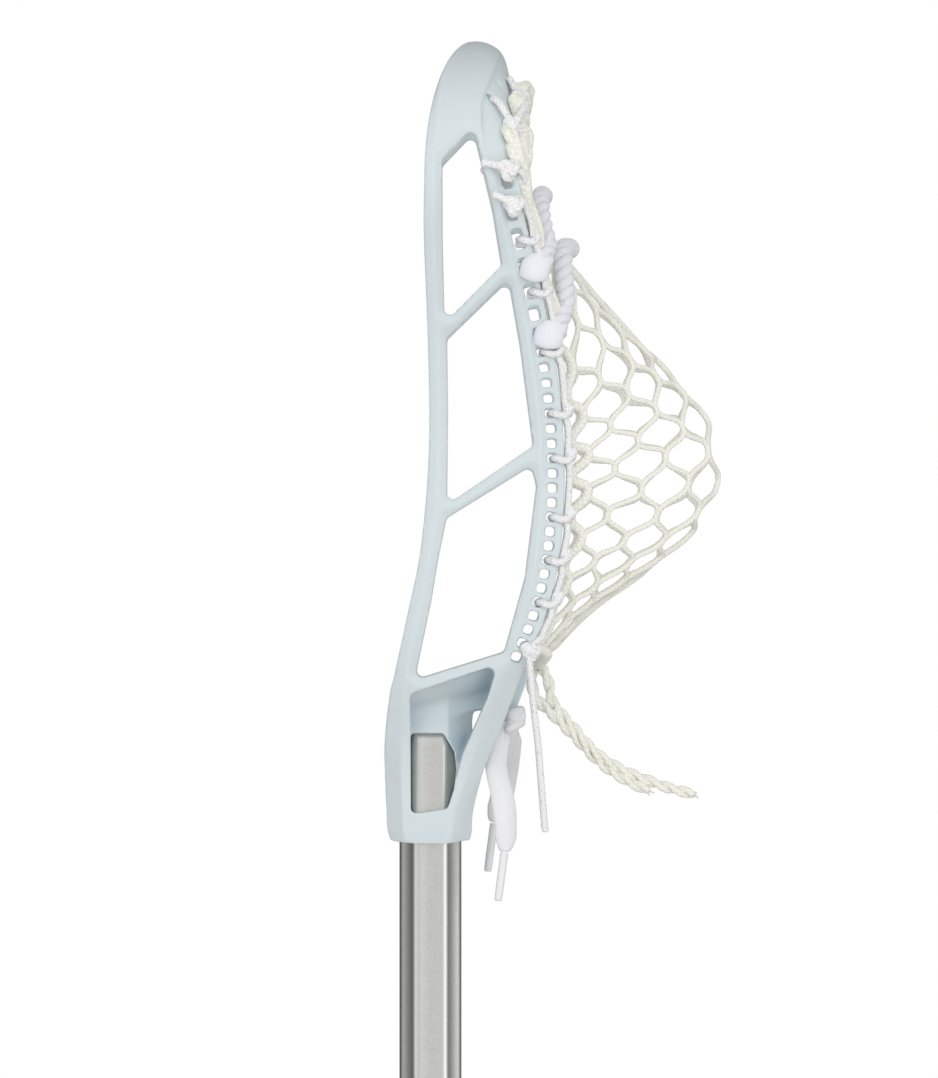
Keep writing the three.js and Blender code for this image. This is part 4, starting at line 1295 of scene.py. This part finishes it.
def make_sidewall_tail(word, side):
    knot = np.array((40, beside(side, 79.5, 1, 1.8), 79.5))
    line = curve([knot + (x, 0, z) for x, z in SIDEWALL_TAIL], STEP)
    run = np.arange(len(line)) * STEP
    swell = 1 + 0.12 * ramp(run, run[-1] - 3, run[-1] - 0.6)
    tip = np.sqrt(np.clip(1 - ramp(run, run[-1] - 0.8, run[-1]) ** 2, 0.3, 1))
    tail = Builder()
    tail.tube(line, CORD_RADIUS * swell * tip, **CORD)
    cad_node = f"sidewall_string_tail_{word}"
    tail.piece(f"cord_tail_{word}", "string_cord", [cad_node], f"sidewall_tail_{word}")


MESH_TAIL_KNOT = np.array((44, 0, 72.5))
MESH_TAIL_CURL = [(0, -1.2), (2.4, -12.6), (6, -17.8), (14.7, -27.4), (24.6, -37.3), (36, -44.8), (49, -50.4),
                  (63.6, -54)]


def make_mesh_tail():
    """The mesh's gathered end: four knit strands in two twisted pairs, cut to two frayed ends."""
    spine = curve([(x, 0, z) for x, z in MESH_TAIL_CURL] + MESH_TAIL_KNOT, 0.5)
    tail = Builder()
    for pair, (share, drop) in enumerate([(1.0, 1.6), (0.80, -1.6)]):
        line = spine[:int(len(spine) * share)]
        run = np.arange(len(line)) * 0.5
        apart = (drop * (0.85 + 0.3 * np.sin(run / 9 + pair) + 1.1 * np.exp(-((run - 7) / 6) ** 2)))[:, None]
        first, second = frames(line)
        down = first if abs(first[0][2]) > abs(second[0][2]) else second
        line = line + down * apart + np.array((0, 1, 0)) * (0.9 * np.sin(run / 8 + 2 * pair))[:, None]
        twisted(tail, line, 2, 1.35, 1.05, 15, **KNIT)
        for hair in range(8):
            spread = rng.normal(0, 0.8, 3)
            root = line[-3] + spread
            reach = (line[-1] - line[-8]) / np.linalg.norm(line[-1] - line[-8])
            tip = root + reach * (1.7 + 0.5 * rng.random()) + spread * 0.4
            tail.tube(curve([root, root + reach * 1.2 + spread * 0.2, tip], 0.4), 0.32, sides=6)
    tail.piece("mesh_tail_strands", "mesh_cord", ["mesh_tail"], "mesh_end")


# ---- everything together

def make_stick():
    make_head()
    make_shaft()
    make_butt_cap()
    make_screw()
    make_ball_stop_pad()
    make_mesh_pocket()
    make_top_bunches()
    make_top_string()
    make_shooting_string("upper", 238, 265, 3.7, 235)
    make_shooting_string("lower", 212, 243.5, 4.0, 207.8)
    make_bottom_lace()
    make_mesh_tail()
    for word, side in (("left", -1), ("right", 1)):
        make_sidewall_string(word, side)
        make_sidewall_tail(word, side)
        make_lace_tail(word, side)
        make_aglet(word, side)


# ---- stage, light and camera

def make_stage():
    bpy.ops.mesh.primitive_circle_add(vertices=128, radius=1.6, fill_type="NGON", location=(0, 0, -0.0005))
    floor = bpy.context.object
    floor.name = "floor"
    floor.data.materials.append(new_material("pale_floor").finish((0.86, 0.86, 0.86), 0.8))


def make_light(name, location, size, power, target=(0, 0, 0.85)):
    """An area light turned to the middle of the head."""
    data = bpy.data.lights.new(name, "AREA")
    data.shape = "RECTANGLE"
    data.size, data.size_y = size
    data.energy = power
    lamp = bpy.data.objects.new(name, data)
    bpy.context.scene.collection.objects.link(lamp)
    lamp.location = location
    lamp.rotation_euler = (Vector(target) - Vector(location)).to_track_quat("-Z", "Y").to_euler()
    lamp.visible_camera = False
    lamp.visible_glossy = False


# What polished surfaces see around the stick, from the camera's side to the back: (place, brightness).
FRONT_TO_BACK = [(0, 0.15), (0.36, 0.12), (0.5, 0.34), (0.63, 0.75), (0.86, 1.45), (0.965, 1.0), (1, 0.74)]


def make_world():
    """White to the camera and an even soft box to matt surfaces; polished ones see a darker front."""
    world = bpy.data.worlds.new("studio")
    bpy.context.scene.world = world
    n = Nodes(world)
    split = n.add("SeparateXYZ")
    n.feed(split.inputs[0], n.add("TexCoord").outputs["Generated"])
    ray = n.add("LightPath").outputs
    shades = n.add("ValToRGB")
    shades.color_ramp.interpolation = "EASE"
    for place, level in FRONT_TO_BACK[1:-1]:
        shades.color_ramp.elements.new(place)
    for element, (place, level) in zip(shades.color_ramp.elements, FRONT_TO_BACK):
        element.position = place
        element.color = (level, level, level, 1)
    n.feed(shades.inputs[0], n.range(split.outputs["Y"], 1, 0, -1))
    polished = n.math("MULTIPLY", shades.outputs[0], n.range(split.outputs["X"], 0.62, 1.15, -1))
    matt = n.range(split.outputs["Y"], 0.83, 0.44, -1)
    seen = n.mix(ray["Is Glossy Ray"], matt, polished, "FLOAT")
    background = n.tree.nodes["Background"].inputs
    n.feed(background["Strength"], n.mix(ray["Is Camera Ray"], seen, 1.0, "FLOAT"))
    n.feed(background["Color"], (1, 1, 1))


CAMERA_DISTANCE = 8.0
CAMERA_HEIGHT = 0.8435
CAMERA_SHIFT = 0.0158
VIEW_HEIGHT = 0.442


def make_camera():
    """A long lens square to the stick's side, which sees VIEW_HEIGHT of it from top to bottom."""
    data = bpy.data.cameras.new("camera")
    camera = bpy.data.objects.new("camera", data)
    bpy.context.scene.collection.objects.link(camera)
    camera.location = (CAMERA_SHIFT, -CAMERA_DISTANCE, CAMERA_HEIGHT)
    camera.rotation_euler = (math.pi / 2, 0, 0)
    data.sensor_fit = "VERTICAL"
    data.angle = 2 * math.atan(VIEW_HEIGHT / 2 / CAMERA_DISTANCE)
    data.clip_end = 100
    bpy.context.scene.camera = camera


make_stick()
make_stage()
make_world()
make_light("key", (0.7, -2.5, 1.6), (1.2, 1.4), 17)
make_light("fill", (-1.2, -1.8, 0.8), (1.0, 1.6), 3)
make_camera()
bpy.context.scene.view_settings.view_transform = "Standard"
